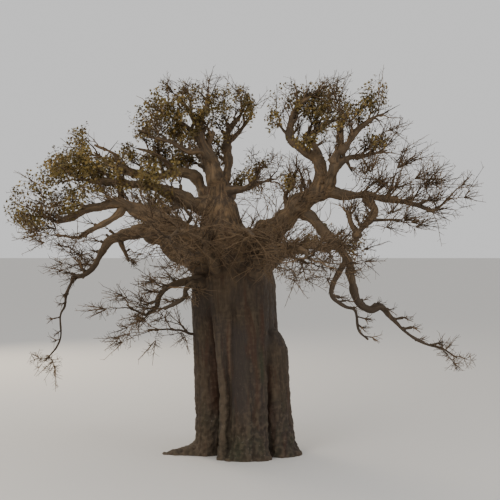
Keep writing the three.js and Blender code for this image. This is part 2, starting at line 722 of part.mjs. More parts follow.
// A mesh from a solid that is drawn about its own foot and set in its place.
function meshAt(name, solid, foot, material) {
  const { numProp, vertProperties, triVerts } = solid.getMesh();
  const positions = [];
  for (let i = 0; i < vertProperties.length; i += numProp) {
    positions.push(vertProperties[i] - foot.x, vertProperties[i + 1] - foot.y, vertProperties[i + 2] - foot.z);
  }
  const geometry = new THREE.BufferGeometry();
  geometry.setAttribute('position', new THREE.Float32BufferAttribute(positions, 3));
  geometry.setIndex([...triVerts]);
  geometry.computeVertexNormals();
  const mesh = new THREE.Mesh(geometry, material);
  mesh.name = name;
  mesh.position.copy(foot);
  return mesh;
}

const tree = new THREE.Group();
tree.add(meshAt('trunk', solidOf(trunkGeometry()), new THREE.Vector3(), BARK));

// Each limb is cut clear of the trunk and of the limbs before it.
const boughs = new THREE.Group();
const carriers = [solidOf(trunkGeometry(SEAT_GAP))];
for (const limb of LIMBS) {
  const solid = mainBody(solidOf(limbGeometry(limb)).subtract(wasm.Manifold.union(carriers)));
  boughs.add(meshAt(limb.name, solid, metres(limb.bends[0]), BARK));
  carriers.push(solidOf(limbGeometry(limb, SEAT_GAP)));
}
tree.add(boughs);

const crown = new THREE.Group();
for (const mass of masses) {
  crown.add(meshAt(`mass_${mass.name}`, massSolid(mass), mass.heart, mass.leafy ? LEAVES : TWIG));
}
tree.add(crown);

export default tree;
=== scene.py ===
"""An old baobab: barked trunk and boughs, twigs and leaf sprays grown by a seeded rule, in metres, +Z up."""

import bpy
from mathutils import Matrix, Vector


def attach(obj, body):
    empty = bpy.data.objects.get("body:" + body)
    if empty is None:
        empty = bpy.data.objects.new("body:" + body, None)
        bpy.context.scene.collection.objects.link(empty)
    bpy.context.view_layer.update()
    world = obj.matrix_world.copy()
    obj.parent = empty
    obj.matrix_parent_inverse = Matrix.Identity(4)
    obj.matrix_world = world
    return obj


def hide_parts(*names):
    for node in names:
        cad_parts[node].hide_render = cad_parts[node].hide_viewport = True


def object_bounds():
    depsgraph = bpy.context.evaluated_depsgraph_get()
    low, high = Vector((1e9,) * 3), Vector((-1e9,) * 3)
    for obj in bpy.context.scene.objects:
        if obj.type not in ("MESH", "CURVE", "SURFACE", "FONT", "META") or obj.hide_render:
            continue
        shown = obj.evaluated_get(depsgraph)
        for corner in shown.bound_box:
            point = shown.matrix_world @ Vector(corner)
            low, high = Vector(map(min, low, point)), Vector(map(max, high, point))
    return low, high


bl_info = {
    "name": "Savanna Baobab",
    "version": (1, 0, 0),
    "blender": (4, 5, 0),
    "location": "View3D > Sidebar > Baobab",
    "description": "Builds an old baobab with bark relief, branching twigs and sprays of small leaves",
    "category": "Add Mesh",
}

import functools
import math

import bmesh
import bpy
import numpy as np
from mathutils import Vector, kdtree, noise

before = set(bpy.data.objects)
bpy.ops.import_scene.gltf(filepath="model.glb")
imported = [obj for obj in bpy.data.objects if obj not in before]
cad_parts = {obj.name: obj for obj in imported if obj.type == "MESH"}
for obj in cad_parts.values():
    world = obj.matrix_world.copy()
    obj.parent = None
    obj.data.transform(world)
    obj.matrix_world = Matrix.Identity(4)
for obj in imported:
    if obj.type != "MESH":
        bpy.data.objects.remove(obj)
CAD_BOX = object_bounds()

GOLDEN_ANGLE = math.pi * (3 - math.sqrt(5))

# The trunk's core: height, centre x, centre y and radius, from the ground cut to the high fork.
CORE = np.array([
    (0.0, 0.0, 0.0, 1.45),
    (2.4, 0.05, 0.0, 1.4),
    (4.8, -0.15, 0.0, 1.45),
    (6.2, -0.3, 0.0, 1.58),
    (7.2, -0.35, 0.0, 1.66),
    (8.1, -0.45, 0.0, 1.5),
    (9.0, -0.75, 0.0, 1.05),
    (9.9, -0.95, 0.0, 0.78),
    (11.1, -0.98, 0.05, 0.66),
])
TRUNK_HEIGHT = 11.1

# The columns fused round the core: where each stands at its foot and its head, its radii there, and its top.
COLUMNS = (
    ((-1.1, -0.35), (-1.4, -0.3), (0.78, 0.82), 8.3),
    ((-0.62, -0.98), (-0.75, -0.95), (0.62, 0.66), 8.0),
    ((0.28, -1.0), (0.15, -0.85), (0.92, 0.82), 8.4),
    ((1.22, -0.35), (1.0, -0.35), (0.9, 0.8), 5.3),
    ((0.95, 0.75), (0.4, 0.65), (0.85, 0.9), 8.2),
    ((0.1, 1.15), (-0.2, 1.0), (0.84, 0.8), 7.6),
    ((-0.9, 0.8), (-1.1, 0.7), (0.85, 0.85), 8.1),
)
COLUMN_DOME = 1.3
FLARE_REACH, FLARE_FADE = 0.2, 0.6

# Surface roots: bearing in degrees, how far each runs out, its width in degrees and its height.
ROOTS = (
    (189, 1.35, 11, 0.55),
    (252, 0.3, 9, 0.5),
    (342, 0.25, 12, 0.6),
    (45, 0.6, 12, 0.6),
    (117, 0.5, 11, 0.5),
)

# Deep grooves between the columns: bearing in degrees, depth, width in degrees and the height where each
# closes.
GROOVES = (
    (225, 0.6, 8.0, 6.6),
    (311, 0.27, 5.0, 4.6),
    (249, 0.2, 3.4, 5.8),
    (282, 0.07, 3.5, 4.5),
    (15, 0.22, 6.0, 5.5),
    (75, 0.22, 6.0, 6.5),
    (128, 0.22, 6.0, 6.0),
    (170, 0.2, 6.0, 6.5),
)

# The limbs, each after the one that carries it: its radius at foot and tip, and the places it bends at.
LIMB_TAPER = 1.35
LIMBS = (
    ("high_left", (0.4, 0.13), (
        (-1.1, 0, 10.8), (-1.25, -0.2, 11.9), (-1.6, -0.4, 12.7), (-1.8, -0.5, 13.35),
        (-1.75, -0.5, 13.9), (-1.5, -0.4, 14.35))),
    ("high_left_side", (0.17, 0.07), (
        (-1.78, -0.5, 13.15), (-2.2, -0.85, 13.42), (-2.6, -1.15, 13.65))),
    ("high_mid", (0.27, 0.11), (
        (-0.75, 0.15, 10.8), (-0.68, 0.5, 11.9), (-0.65, 0.8, 12.95), (-0.6, 0.9, 13.6),
        (-0.25, 0.9, 14.1))),
    ("centre_spur", (0.17, 0.06), (
        (-0.7, -0.1, 10.95), (0.05, -0.1, 11.1), (0.4, -0.2, 11.3), (0.65, -0.4, 11.7))),
    ("left_upper", (0.32, 0.09), (
        (-1.3, 0.2, 10.3), (-1.9, 0.9, 11.35), (-2.3, 1.2, 11.75), (-3.1, 1.5, 11.75),
        (-4.1, 1.8, 11.7), (-5.1, 2.0, 11.85), (-5.95, 2.1, 12.3))),
    ("left_mid", (0.38, 0.1), (
        (-1.3, -0.2, 10.1), (-2.35, -1.0, 10.6), (-3.2, -1.6, 10.8), (-4.1, -2.0, 11.05),
        (-4.95, -2.4, 11.2), (-5.8, -2.6, 11.15))),
    ("left_arch", (0.62, 0.1), (
        (-1.2, -0.6, 7.9), (-2.4, -1.6, 8.9), (-3.3, -2.2, 9.6), (-4.25, -2.6, 10.2),
        (-4.95, -2.8, 10.4), (-5.7, -2.9, 10.25), (-6.4, -3.0, 9.9), (-7.2, -3.0, 9.6))),
    ("left_spur", (0.17, 0.08), (
        (-4.7, -2.72, 10.3), (-4.8, -2.9, 9.95), (-5.45, -3.2, 9.5), (-5.95, -3.4, 9.2),
        (-6.25, -3.5, 9.0))),
    ("left_low", (0.78, 0.31), (
        (-1.1, 0.4, 7.4), (-2.1, 0.8, 8.1), (-2.9, 1.0, 8.6), (-3.7, 1.3, 9.05), (-4.45, 1.5, 9.35))),
    ("left_low_drop", (0.3, 0.09), (
        (-4.4, 1.5, 9.33), (-5.2, 1.6, 9.25), (-5.75, 1.7, 8.9), (-6.15, 1.7, 8.35),
        (-6.45, 1.6, 7.8), (-6.9, 1.5, 7.4), (-7.4, 1.5, 7.25))),
    ("left_hanging", (0.08, 0.03), (
        (-7.38, 1.5, 7.25), (-7.65, 1.4, 6.6), (-7.75, 1.3, 6.05), (-7.9, 1.2, 5.65),
        (-7.85, 1.1, 4.8), (-8.0, 1.0, 4.3), (-8.25, 0.9, 3.95))),
    ("low_left", (0.24, 0.07), (
        (-1.5, -0.7, 7.4), (-2.5, -1.6, 7.2), (-3.0, -1.9, 7.0), (-3.35, -2.0, 6.6),
        (-3.45, -2.0, 6.15), (-3.8, -2.1, 5.9))),
    ("side_spur", (0.11, 0.06), (
        (-1.6, -0.4, 5.0), (-2.15, -0.6, 5.02), (-2.35, -0.7, 5.12))),
    ("right_main", (0.95, 0.4), (
        (-0.1, -0.4, 7.4), (0.35, -0.6, 8.45), (0.98, -0.9, 9.05), (1.92, -1.3, 9.75),
        (2.65, -1.4, 10.52), (3.15, -1.4, 11.15))),
    ("right_high", (0.33, 0.1), (
        (3.1, -1.4, 11.0), (3.2, -1.2, 11.65), (3.05, -1.1, 12.2), (2.45, -1.0, 12.7),
        (2.0, -0.9, 13.15), (2.05, -0.8, 13.9), (2.3, -0.7, 14.4), (2.6, -0.7, 14.65))),
    ("right_high_side", (0.17, 0.07), (
        (3.08, -1.1, 12.15), (2.9, -0.4, 12.8), (2.65, 0.0, 13.25), (3.2, 0.4, 13.6), (3.7, 0.7, 13.9))),
    ("right_mid", (0.3, 0.08), (
        (3.2, -1.45, 10.95), (3.6, -1.9, 11.5), (3.75, -2.1, 12.1), (3.9, -2.2, 12.55),
        (3.9, -2.3, 13.1), (3.85, -2.3, 13.5))),
    ("right_mid_side", (0.15, 0.07), (
        (3.89, -2.2, 12.45), (4.3, -2.4, 12.9), (4.65, -2.6, 13.3), (5.05, -2.8, 13.65))),
    ("right_mid_low", (0.16, 0.07), (
        (3.7, -2.05, 11.9), (4.25, -1.7, 12.15), (4.8, -1.4, 12.25), (5.3, -1.2, 12.4))),
    ("right_long", (0.33, 0.09), (
        (2.85, -1.4, 10.72), (3.9, -1.6, 10.75), (4.8, -1.9, 10.6), (5.85, -2.2, 10.5),
        (6.6, -2.5, 10.3), (7.4, -2.8, 10.0))),
    ("right_drop", (0.17, 0.08), (
        (5.0, -1.95, 10.57), (5.2, -2.3, 10.15), (5.0, -2.6, 9.7), (4.6, -2.8, 9.3), (4.4, -2.8, 8.85))),
    ("right_low", (0.36, 0.19), (
        (2.2, -1.35, 10.15), (2.85, -1.9, 9.75), (3.2, -2.2, 9.25), (3.7, -2.5, 8.75),
        (4.1, -2.7, 8.15), (4.2, -2.8, 7.65))),
    ("right_hanging", (0.185, 0.05), (
        (4.2, -2.8, 7.68), (4.4, -2.8, 7.0), (4.6, -2.8, 6.4), (5.0, -2.8, 6.15), (5.45, -2.8, 6.3),
        (5.85, -2.8, 5.8), (6.35, -2.9, 5.25), (7.1, -3.0, 4.85), (7.7, -3.0, 4.7))),
    ("right_low_drop", (0.13, 0.04), (
        (4.08, -2.7, 8.1), (3.8, -3.0, 7.65), (3.5, -3.2, 7.15), (3.45, -3.3, 6.7), (3.95, -3.4, 6.3),
        (4.35, -3.4, 6.15), (4.5, -3.4, 5.4), (4.85, -3.4, 5.05))),
    ("front_left", (0.42, 0.1), (
        (-0.7, -0.9, 7.3), (-1.3, -2.3, 8.4), (-1.7, -3.4, 9.0), (-2.2, -4.5, 9.2), (-2.6, -5.5, 9.05))),
    ("front_right", (0.42, 0.1), (
        (0.3, -0.9, 7.2), (0.9, -2.3, 8.1), (1.3, -3.4, 8.5), (1.8, -4.5, 8.6), (2.3, -5.4, 8.4))),
    ("back_left", (0.5, 0.12), (
        (-0.8, 0.6, 7.5), (-1.9, 2.0, 8.8), (-2.9, 3.3, 9.5), (-3.7, 4.6, 9.85), (-4.2, 5.6, 10.0))),
    ("back_mid", (0.42, 0.11), (
        (-0.7, 0.5, 8.4), (-0.95, 1.9, 9.8), (-0.8, 3.0, 10.7), (-0.2, 4.2, 11.2), (0.7, 5.1, 11.5))),
    ("back_right", (0.48, 0.12), (
        (0.3, 0.6, 7.0), (1.3, 1.9, 8.1), (2.2, 3.0, 8.5), (3.1, 4.1, 8.6), (3.9, 5.1, 8.4))),
    ("back_high", (0.3, 0.09), (
        (-1.1, 0.3, 10.3), (-1.4, 1.3, 11.6), (-1.8, 2.2, 12.4), (-2.0, 2.9, 12.7))),
)

# Lesser branches that the limbs carry, in the same terms.
BRANCHES = (
    ("left_cross", (0.15, 0.1), (
        (-1.4, -0.3, 10.6), (-2.1, -0.6, 10.45), (-2.87, -1.4, 10.22), (-3.5, -2.2, 9.95))),
    ("left_riser", (0.13, 0.06), (
        (-4.8, -2.7, 10.4), (-4.88, -2.2, 10.95), (-5.0, -1.6, 11.47), (-5.2, -1.0, 11.9))),
    ("high_knob", (0.15, 0.09), ((-1.55, -0.35, 12.4), (-1.34, -0.5, 12.9), (-1.24, -0.6, 13.35))),
    ("high_fore", (0.13, 0.05), ((-1.78, -0.5, 13.5), (-2.34, -0.9, 14.3), (-2.73, -1.2, 14.85))),
    ("high_low", (0.14, 0.05), (
        (-1.55, -0.4, 12.5), (-2.34, -0.9, 12.58), (-3.04, -1.3, 12.9), (-3.75, -1.6, 13.05))),
    ("high_back", (0.13, 0.05), ((-0.63, 0.85, 13.2), (-0.1, 1.3, 13.7), (0.35, 1.6, 14.3))),
    ("inner_riser", (0.14, 0.05), (
        (-3.0, 1.48, 11.75), (-3.3, 1.3, 12.2), (-3.9, 1.1, 12.6), (-4.5, 1.0, 12.8))),
    ("upper_fore", (0.13, 0.05), (
        (-4.6, 1.9, 11.75), (-5.2, 1.3, 12.1), (-5.6, 0.8, 12.6), (-6.3, 0.5, 12.9))),
    ("low_stub", (0.15, 0.045), (
        (-5.2, 1.6, 9.25), (-5.3, 1.55, 8.9), (-5.2, 1.5, 8.45), (-5.0, 1.45, 7.95))),
    ("low_second", (0.16, 0.07), (
        (-1.6, -1.0, 7.2), (-2.23, -2.0, 6.96), (-2.41, -2.3, 6.54), (-3.06, -2.5, 6.19))),
    ("drop_stub", (0.13, 0.08), ((4.5, -2.8, 9.05), (4.28, -2.85, 9.45), (4.12, -2.85, 9.95))),
    ("main_riser", (0.15, 0.06), (
        (1.9, -1.25, 9.95), (1.75, -0.9, 10.7), (2.1, -0.6, 11.2), (2.2, -0.4, 11.7))),
    ("gap_riser", (0.1, 0.05), (
        (-2.4, -1.5, 8.95), (-2.35, -0.9, 9.4), (-2.15, -0.5, 9.8), (-2.45, -0.2, 10.2))),
    ("gap_second", (0.08, 0.04), ((-2.35, -0.95, 9.35), (-2.75, -0.6, 9.7), (-2.7, -0.3, 10.1))),
    ("front_mid", (0.3, 0.08), (
        (-0.2, -0.9, 8.3), (-0.1, -2.2, 9.0), (0.1, -3.2, 9.2), (0.4, -4.3, 9.0))),
)

# Limbs that are slimmer to look at than their solids.
SLIMMER = {"right_main": 0.85, "right_low": 0.72, "right_long": 0.82, "front_left": 0.66, "front_mid": 0.8}

# How far limbs wander from their lines, against their radius up to a girth, and how quickly along them.
SWAY, SWAY_GIRTH, SWAY_RATE = 0.5, 0.3, 1.05
WANDER_SEED = 1

# The masses of twigs: name, limb, share of the limb's length where the stem springs, middle and half sizes
# of the space, and whether it is in leaf.
MASSES = (
    ("high_left", "high_left", 1, (-1.5, -0.4, 14.95), (1.25, 1.2, 0.85), True),
    ("high_left_side", "high_left_side", 1, (-3.3, -1.5, 14.15), (1.15, 1.3, 1.3), True),
    ("high_mid", "high_mid", 1, (0.1, 0.9, 14.65), (0.8, 1.1, 1.0), True),
    ("centre", "centre_spur", 1, (0.85, -0.4, 12.0), (0.6, 0.7, 0.5), True),
    ("left_upper", "left_upper", 1, (-6.6, 2.2, 12.75), (1.35, 1.5, 1.05), True),
    ("left_inner", "left_upper", 0.55, (-3.7, 1.5, 12.65), (1.5, 1.4, 0.85), True),
    ("left_mid", "left_mid", 1, (-6.7, -2.8, 11.4), (1.45, 1.5, 0.95), True),
    ("left_arch", "left_arch", 1, (-8.05, -3.0, 10.05), (1.25, 1.5, 0.95), True),
    ("left_spur", "left_spur", 1, (-7.1, -3.8, 9.1), (1.05, 1.1, 0.5), False),
    ("left_low", "left_low_drop", 0.86, (-7.2, 1.4, 8.05), (0.95, 1.2, 0.7), False),
    ("left_hanging", "left_hanging", 1, (-8.5, 0.8, 3.7), (0.5, 0.6, 0.35), False),
    ("low_left", "low_left", 1, (-4.6, -2.3, 6.3), (1.0, 1.1, 0.6), False),
    ("side_spur", "side_spur", 1, (-3.9, -0.9, 5.2), (1.75, 1.2, 0.75), False),
    ("right_high", "right_high", 1, (3.05, -0.7, 15.0), (1.35, 1.2, 0.8), True),
    ("right_inner", "right_high", 0.6, (1.4, -0.9, 13.7), (0.6, 0.9, 0.85), True),
    ("right_side", "right_high_side", 1, (3.95, 1.0, 14.2), (0.9, 1.2, 0.65), True),
    ("right_mid", "right_mid", 1, (4.1, -2.4, 13.85), (0.7, 0.9, 0.6), True),
    ("right_mid_side", "right_mid_side", 1, (5.5, -3.0, 13.8), (0.95, 1.0, 0.8), True),
    ("right_mid_low", "right_mid_low", 1, (5.9, -1.0, 12.55), (1.15, 1.2, 0.8), True),
    ("right_long", "right_long", 1, (8.2, -3.0, 10.7), (1.2, 1.2, 0.95), False),
    ("right_fan", "right_long", 0.62, (6.0, -2.3, 11.3), (1.35, 1.2, 0.65), False),
    ("right_drop", "right_drop", 0.55, (6.2, -3.1, 9.65), (1.0, 0.9, 0.45), False),
    ("right_hanging", "right_hanging", 1, (8.35, -3.1, 4.3), (0.75, 0.8, 0.45), False),
    ("front_left", "front_left", 1, (-2.7, -6.4, 8.9), (1.5, 1.5, 1.0), False),
    ("front_right", "front_right", 1, (2.5, -6.3, 8.1), (1.6, 1.5, 0.95), False),
    ("back_left", "back_left", 1, (-4.4, 6.4, 10.8), (1.7, 1.6, 1.15), True),
    ("back_mid", "back_mid", 1, (1.5, 5.9, 11.8), (1.5, 1.6, 1.15), True),
    ("back_right", "back_right", 1, (4.3, 6.0, 8.7), (1.5, 1.6, 1.1), True),
    ("back_high", "back_high", 1, (-2.2, 3.5, 13.2), (1.35, 1.4, 1.0), True),
)

# The source's growth rule: its stems, its two levels of twigs, and how they keep to their own space.
STEM_SHARE, STEM_WIDEST, STEM_TAPER, STEM_STEPS, STEM_BARE_FOOT = 0.85, 0.11, 0.6, 3, 0.55
BACKSTEP = 0.4
FORK_TAPER = 0.5
CARRY_ON = 0.18
JITTER = 0.24
SPRAY_REACH = 0.72
LIMB_CLEARANCE = 0.04
SPACE_MARGIN = 0.03
KEEP_OFF_GROUND = 0.3
EIGHTHS = np.arange(1, 9) / 8
LEAFY_HALF_WIDTH, POINT_SPACING = 0.18, 0.16
FIRST_SEED, SEED_STEP = 1201, 97
SOURCE_LEVELS = {
    True: (
        {"base": 3, "per_area": 2.2, "shell": (0.92, 1), "radius": 0.036, "tip": 0.011, "steps": 2},
        {"base": 2, "per_area": 4, "shell": (0.4, 0.95), "radius": 0.012, "tip": 0.009, "steps": 0},
    ),
    False: (
        {"base": 2, "per_area": 2, "shell": (0.92, 1), "radius": 0.036, "tip": 0.01, "steps": 2},
        {"base": 2, "per_area": 3, "shell": (0.6, 0.98), "radius": 0.02, "tip": 0.008, "steps": 1},
    ),
}
LEVEL_ONE_RADIUS, LEVEL_ONE_SLIMNESS = 0.055, 0.036
STEM_TIP = 0.03
LEAF_CLUMP = 1.2
BARE_EDGE = 0.25
BARE_TOP = (14.5, 15.5)

# Finer wood: twigs that crowd round the tips of the source's ones, and shoots that stand out of those
# clumps. The counts are for one clump.
CLUMP_LEVELS = (
    {"twigs": 8, "spread": 0.42, "reach": 0.65, "radius": 0.015, "tip": 0.007, "steps": 4},
    {"twigs": 17, "spread": 0.5, "reach": 0.38, "radius": 0.011, "tip": 0.005, "steps": 3},
)
CLUMP_SHOOTS = {True: 2, False: 5}
BARE_CROWDING = 1.5

# Masses with more or longer shoots, as (shoots of a clump, their length against the usual one), and with
# more or fewer crowded twigs than usual.
SPIKY = {
    "high_left": (6, 1.25), "right_high": (5, 1.2), "right_mid": (5, 1.2), "right_mid_side": (3, 1.1),
    "right_mid_low": (3, 1.35), "right_long": (10, 1.45), "right_fan": (11, 1.45), "right_drop": (8, 1.3),
    "left_spur": (7, 1.2), "left_arch": (3, 1.2),
}
CROWDING = {
    "left_low": 2.4, "right_long": 0.4, "right_fan": 0.25, "right_drop": 0.7, "low_tangle": 2.6,
    "front_tangle": 2.4, "high_mid": 1.5, "left_upper": 1.1, "left_mid": 1.0,
    "right_mid_low": 0.4, "right_mid_side": 0.4,
}
SHOOT_LENGTH = (0.45, 1.15)

# Kinds of thin shoot, on clumps, in whorls and as strands: the radii, the number of points, how far a shoot
# strays and keeps to its first heading, its taper, the room it needs, how many of those in leafy places
# have leaves, how far out in the crown it counts as, and how pale it is.
SHOOT = {
    "radius": 0.018, "tip": 0.007, "steps": 5, "stray": 0.035, "bow": CARRY_ON, "taper": 0.9, "room": 0.018,
    "leafy": 0.35, "depth": 1.0, "pale": 0.0,
}
WHORL_SHOOT = {**SHOOT, "radius": 0.02, "tip": 0.0075, "steps": 6, "room": 0.01, "leafy": 1, "depth": 0.95}
STRAND = {
    **SHOOT, "radius": 0.017, "steps": 8, "stray": 0.03, "bow": 0.5, "taper": 0.8, "room": 0.017,
    "depth": 0.9, "pale": 0.5,
}

# Shoots lean away from the crown's heart, and up.
CROWN_HEART = np.array((-0.2, 0.0, 8.6))
LIFT = 0.35

# Where the crown shows sky from the front, in the upright plane through the trunk: middle and half sizes.
SKY = (
    ((-5.8, 13.25), (0.85, 0.95)),
    ((-4.2, 12.65), (0.34, 0.34)),
    ((-2.75, 11.15), (0.75, 0.26)),
    ((-2.5, 9.5), (0.62, 0.7)),
    ((-5.75, 10.35), (0.5, 0.2)),
    ((-6.5, 9.45), (0.7, 0.3)),
    ((-4.4, 8.75), (1.0, 0.36)),
    ((0.75, 14.0), (0.34, 1.3)),
    ((3.53, 11.7), (0.2, 0.32)),
    ((2.65, 13.55), (0.34, 0.4)),
    ((3.5, 9.95), (0.62, 0.4)),
    ((2.15, 9.25), (0.36, 0.26)),
    ((-4.9, 15.2), (1.1, 0.9)),
    ((-7.3, 14.3), (1.3, 0.75)),
    ((-8.9, 12.9), (1.0, 1.0)),
    ((7.4, 15.0), (1.2, 1.1)),
)
FRONT_EYE = (0.294, -42.0, 8.88)

# How much of each mass is in leaf, where it isn't nearly all of it.
LEAFINESS = {
    "back_mid": 0.35, "back_right": 0.3, "back_left": 0.45, "right_mid_low": 0.36, "right_mid_side": -0.2,
    "right_mid": 0.42, "right_side": 0.38, "right_high": 0.46, "right_inner": 0.5, "centre": 0.42,
    "high_left": 0.26, "main_upper": 0.4, "mid_hanging": 0.5, "back_high": 0.5, "left_inner": 0.66,
    "high_mid": 0.85, "left_arch": 0.55, "left_upper": 0.95, "left_mid": 0.95,
}
USUAL_LEAFINESS = 0.62

# Whorls of shoots on each limb: the share of its length from which they stand, the distance between them,
# the length of their shoots, and how many of them are in leaf. They go on to the limb's tip, or to its own
# end below.
WHORLS = {
    "high_left": (0.35, 0.5, 0.95, 0.4),
    "high_left_side": (0.2, 0.4, 0.95, 0.6),
    "high_mid": (0.35, 0.4, 0.9, 0.6),
    "centre_spur": (0.5, 0.35, 0.6, 0.5),
    "left_upper": (0.3, 0.5, 1.05, 0.6),
    "left_mid": (0.25, 0.5, 0.95, 0.6),
    "left_arch": (0.3, 0.55, 0.9, 0.5),
    "left_spur": (0.5, 0.45, 0.8, 0.1),
    "left_low": (0.55, 0.55, 0.7, 0.1),
    "left_low_drop": (0.25, 0.32, 0.85, 0.0),
    "left_hanging": (0.1, 0.5, 0.34, 0.0),
    "low_left": (0.3, 0.35, 0.95, 0.0),
    "side_spur": (0.95, 0.2, 1.5, 0.0),
    "right_main": (0.62, 0.45, 1.0, 0.0),
    "right_high": (0.32, 0.38, 1.0, 0.45),
    "right_high_side": (0.2, 0.38, 0.95, 0.4),
    "right_mid": (0.35, 0.33, 0.9, 0.4),
    "right_mid_side": (0.2, 0.3, 0.9, 0.0),
    "right_mid_low": (0.15, 0.3, 1.2, 0.3),
    "right_long": (0.3, 0.4, 1.5, 0.0),
    "right_drop": (0.35, 0.4, 1.0, 0.0),
    "right_low": (0.45, 0.6, 0.6, 0.1),
    "right_hanging": (0.15, 0.6, 0.42, 0.0),
    "right_low_drop": (0.2, 0.5, 0.38, 0.0),
    "front_left": (0.15, 0.24, 1.5, 0.0),
    "front_right": (0.15, 0.24, 1.5, 0.0),
    "back_left": (0.35, 0.5, 1.1, 0.45),
    "back_mid": (0.4, 0.5, 1.1, 0.3),
    "back_right": (0.35, 0.5, 1.1, 0.2),
    "back_high": (0.3, 0.45, 1.0, 0.5),
    "left_cross": (0.4, 0.5, 0.5, 0.2),
    "left_riser": (0.2, 0.35, 0.8, 0.6),
    "high_knob": (0.6, 0.3, 0.6, 0.4),
    "high_fore": (0.3, 0.35, 0.9, 0.45),
    "high_low": (0.2, 0.35, 0.85, 0.6),
    "high_back": (0.3, 0.35, 0.8, 0.4),
    "inner_riser": (0.2, 0.35, 0.9, 0.6),
    "upper_fore": (0.2, 0.35, 0.95, 0.65),
    "low_stub": (0.25, 0.14, 0.42, 0.0),
    "low_second": (0.5, 0.3, 0.7, 0.0),
    "drop_stub": (0.8, 0.04, 0.6, 0.0),
    "main_riser": (0.3, 0.35, 0.8, 0.4),
    "gap_riser": (0.3, 0.4, 0.4, 0.5),
    "gap_second": (0.4, 0.4, 0.35, 0.3),
    "front_mid": (0.3, 0.4, 1.2, 0.0),
}
WHORL_SEED = 90001
WHORL_SHOOTS = (5, 9)
WHORL_ENDS = {"front_left": 0.9, "front_right": 0.9, "front_mid": 0.75}
WHORL_SPREAD = math.radians(115)
STUB_RADIUS = 0.055
STUB_PROFILE = np.array((2.0, 1.35, 0.95, 1.1, 1.25))
SIDE_TWIG_SPACING, SIDE_TWIG_RADIUS = 0.16, 0.0115
OUTSIDE_BOX, LEAF_MARGIN = 0.1, -0.08

# Smaller tufts that the limbs carry between the masses, in the same terms as the masses.
TUFTS = (
    ("main_upper", "right_main", 0.84, (2.35, -0.5, 11.75), (0.6, 0.9, 1.0), True),
    ("mid_hanging", "right_mid_low", 0.3, (4.4, -1.6, 11.65), (0.75, 0.8, 0.45), True),
    ("low_tangle", "right_low", 0.55, (3.95, -3.4, 8.75), (1.25, 0.8, 1.05), False),
    ("front_tangle", "front_right", 0.6, (2.4, -4.0, 8.0), (1.4, 0.8, 0.8), False),
    ("left_tangle", "low_left", 0.6, (-2.9, -2.6, 7.1), (1.1, 0.7, 0.9), False),
)

# Long thin twigs that sweep aside from a limb: how many, the shares of its length where they spring, their
# length and the ways that they lean.
STRANDS = {
    "front_left": (46, 0.2, 0.95, 1.9, (
        (1, -0.25, -0.1), (-1, -0.2, 0.15), (0.35, -0.3, -0.9), (-0.8, -0.2, -0.5))),
    "front_mid": (60, 0.1, 0.95, 2.1, (
        (1, -0.2, 0.0), (-1, -0.2, -0.1), (0.8, -0.3, -0.6), (-0.8, -0.3, -0.6))),
    "front_right": (46, 0.2, 0.95, 1.9, (
        (-1, -0.2, 0.2), (1, -0.2, -0.1), (0.9, -0.2, 0.5), (-0.2, -0.3, -0.9))),
    "right_main": (64, 0.2, 0.9, 1.7, (
        (0.75, -0.3, 0.6), (0.8, -0.3, 0.35), (0.8, -0.3, 0.7), (-0.3, -0.5, 0.9))),
    "left_arch": (60, 0.1, 0.75, 2.0, ((-0.8, -0.3, 0.5), (-0.9, -0.25, 0.15), (-0.3, -0.3, 0.9))),
    "right_long": (34, 0.3, 1.0, 1.7, (
        (0.6, -0.1, 0.8), (0.85, -0.1, 0.5), (0.2, -0.2, 0.95), (0.9, 0.0, 0.2))),
    "right_high": (18, 0.6, 1.0, 1.15, ((-0.8, -0.1, 0.6), (-0.5, -0.1, 0.8), (0.6, -0.1, 0.8))),
    "right_mid_low": (14, 0.3, 1.0, 1.5, ((0.85, -0.1, 0.4), (0.7, -0.1, 0.6))),
    "left_low": (22, 0.2, 0.9, 1.4, ((-0.8, -0.3, 0.2), (-0.7, -0.2, -0.4))),
    "left_mid": (16, 0.2, 0.8, 1.4, ((-0.9, -0.2, 0.2), (-0.7, -0.2, 0.6))),
    "right_low": (20, 0.2, 0.9, 1.2, ((0.8, -0.2, -0.3), (0.5, -0.3, 0.6), (-0.4, -0.3, -0.7))),
    "low_left": (14, 0.1, 0.9, 1.1, ((-0.9, -0.2, 0.3), (-0.5, -0.3, -0.4))),
    "back_left": (16, 0.2, 0.9, 1.5, ((-0.7, 0.5, 0.5), (0.5, 0.5, 0.4))),
    "back_mid": (16, 0.2, 0.9, 1.5, ((-0.6, 0.6, 0.4), (0.7, 0.5, 0.4))),
    "back_right": (16, 0.2, 0.9, 1.5, ((-0.5, 0.6, 0.4), (0.8, 0.4, 0.3))),
}
STRAND_SEED = 70001
STRAND_LOWEST = 7.0


def seeded(seed):
    """Seeded random numbers from 0 to 1."""
    state = seed

    def draw():
        nonlocal state
        state = state * 16807 % 2147483647
        return state / 2147483647

    return draw


def random_direction(draw):
    return unit(np.array([draw() - 0.5 for _ in range(3)]))


def leaning(place):
    """The way that shoots lean at a place."""
    return unit(unit(place - CROWN_HEART) + np.array((0, 0, LIFT)))


def shows_sky(place):
    """Whether a place stands before or behind one of the crown's open spaces, seen from the front."""
    nearness = FRONT_EYE[1] / (FRONT_EYE[1] - place[1])
    x = FRONT_EYE[0] + (place[0] - FRONT_EYE[0]) * nearness
    z = FRONT_EYE[2] + (place[2] - FRONT_EYE[2]) * nearness
    return any(
        ((x - middle[0]) / span[0]) ** 2 + ((z - middle[1]) / span[1]) ** 2 < 1 for middle, span in SKY)


def smoothstep(value, low, high):
    share = np.clip((value - low) / (high - low), 0, 1)
    return share * share * (3 - 2 * share)


def unit(vectors):
    return vectors / np.maximum(np.linalg.norm(vectors, axis=-1, keepdims=True), 1e-12)


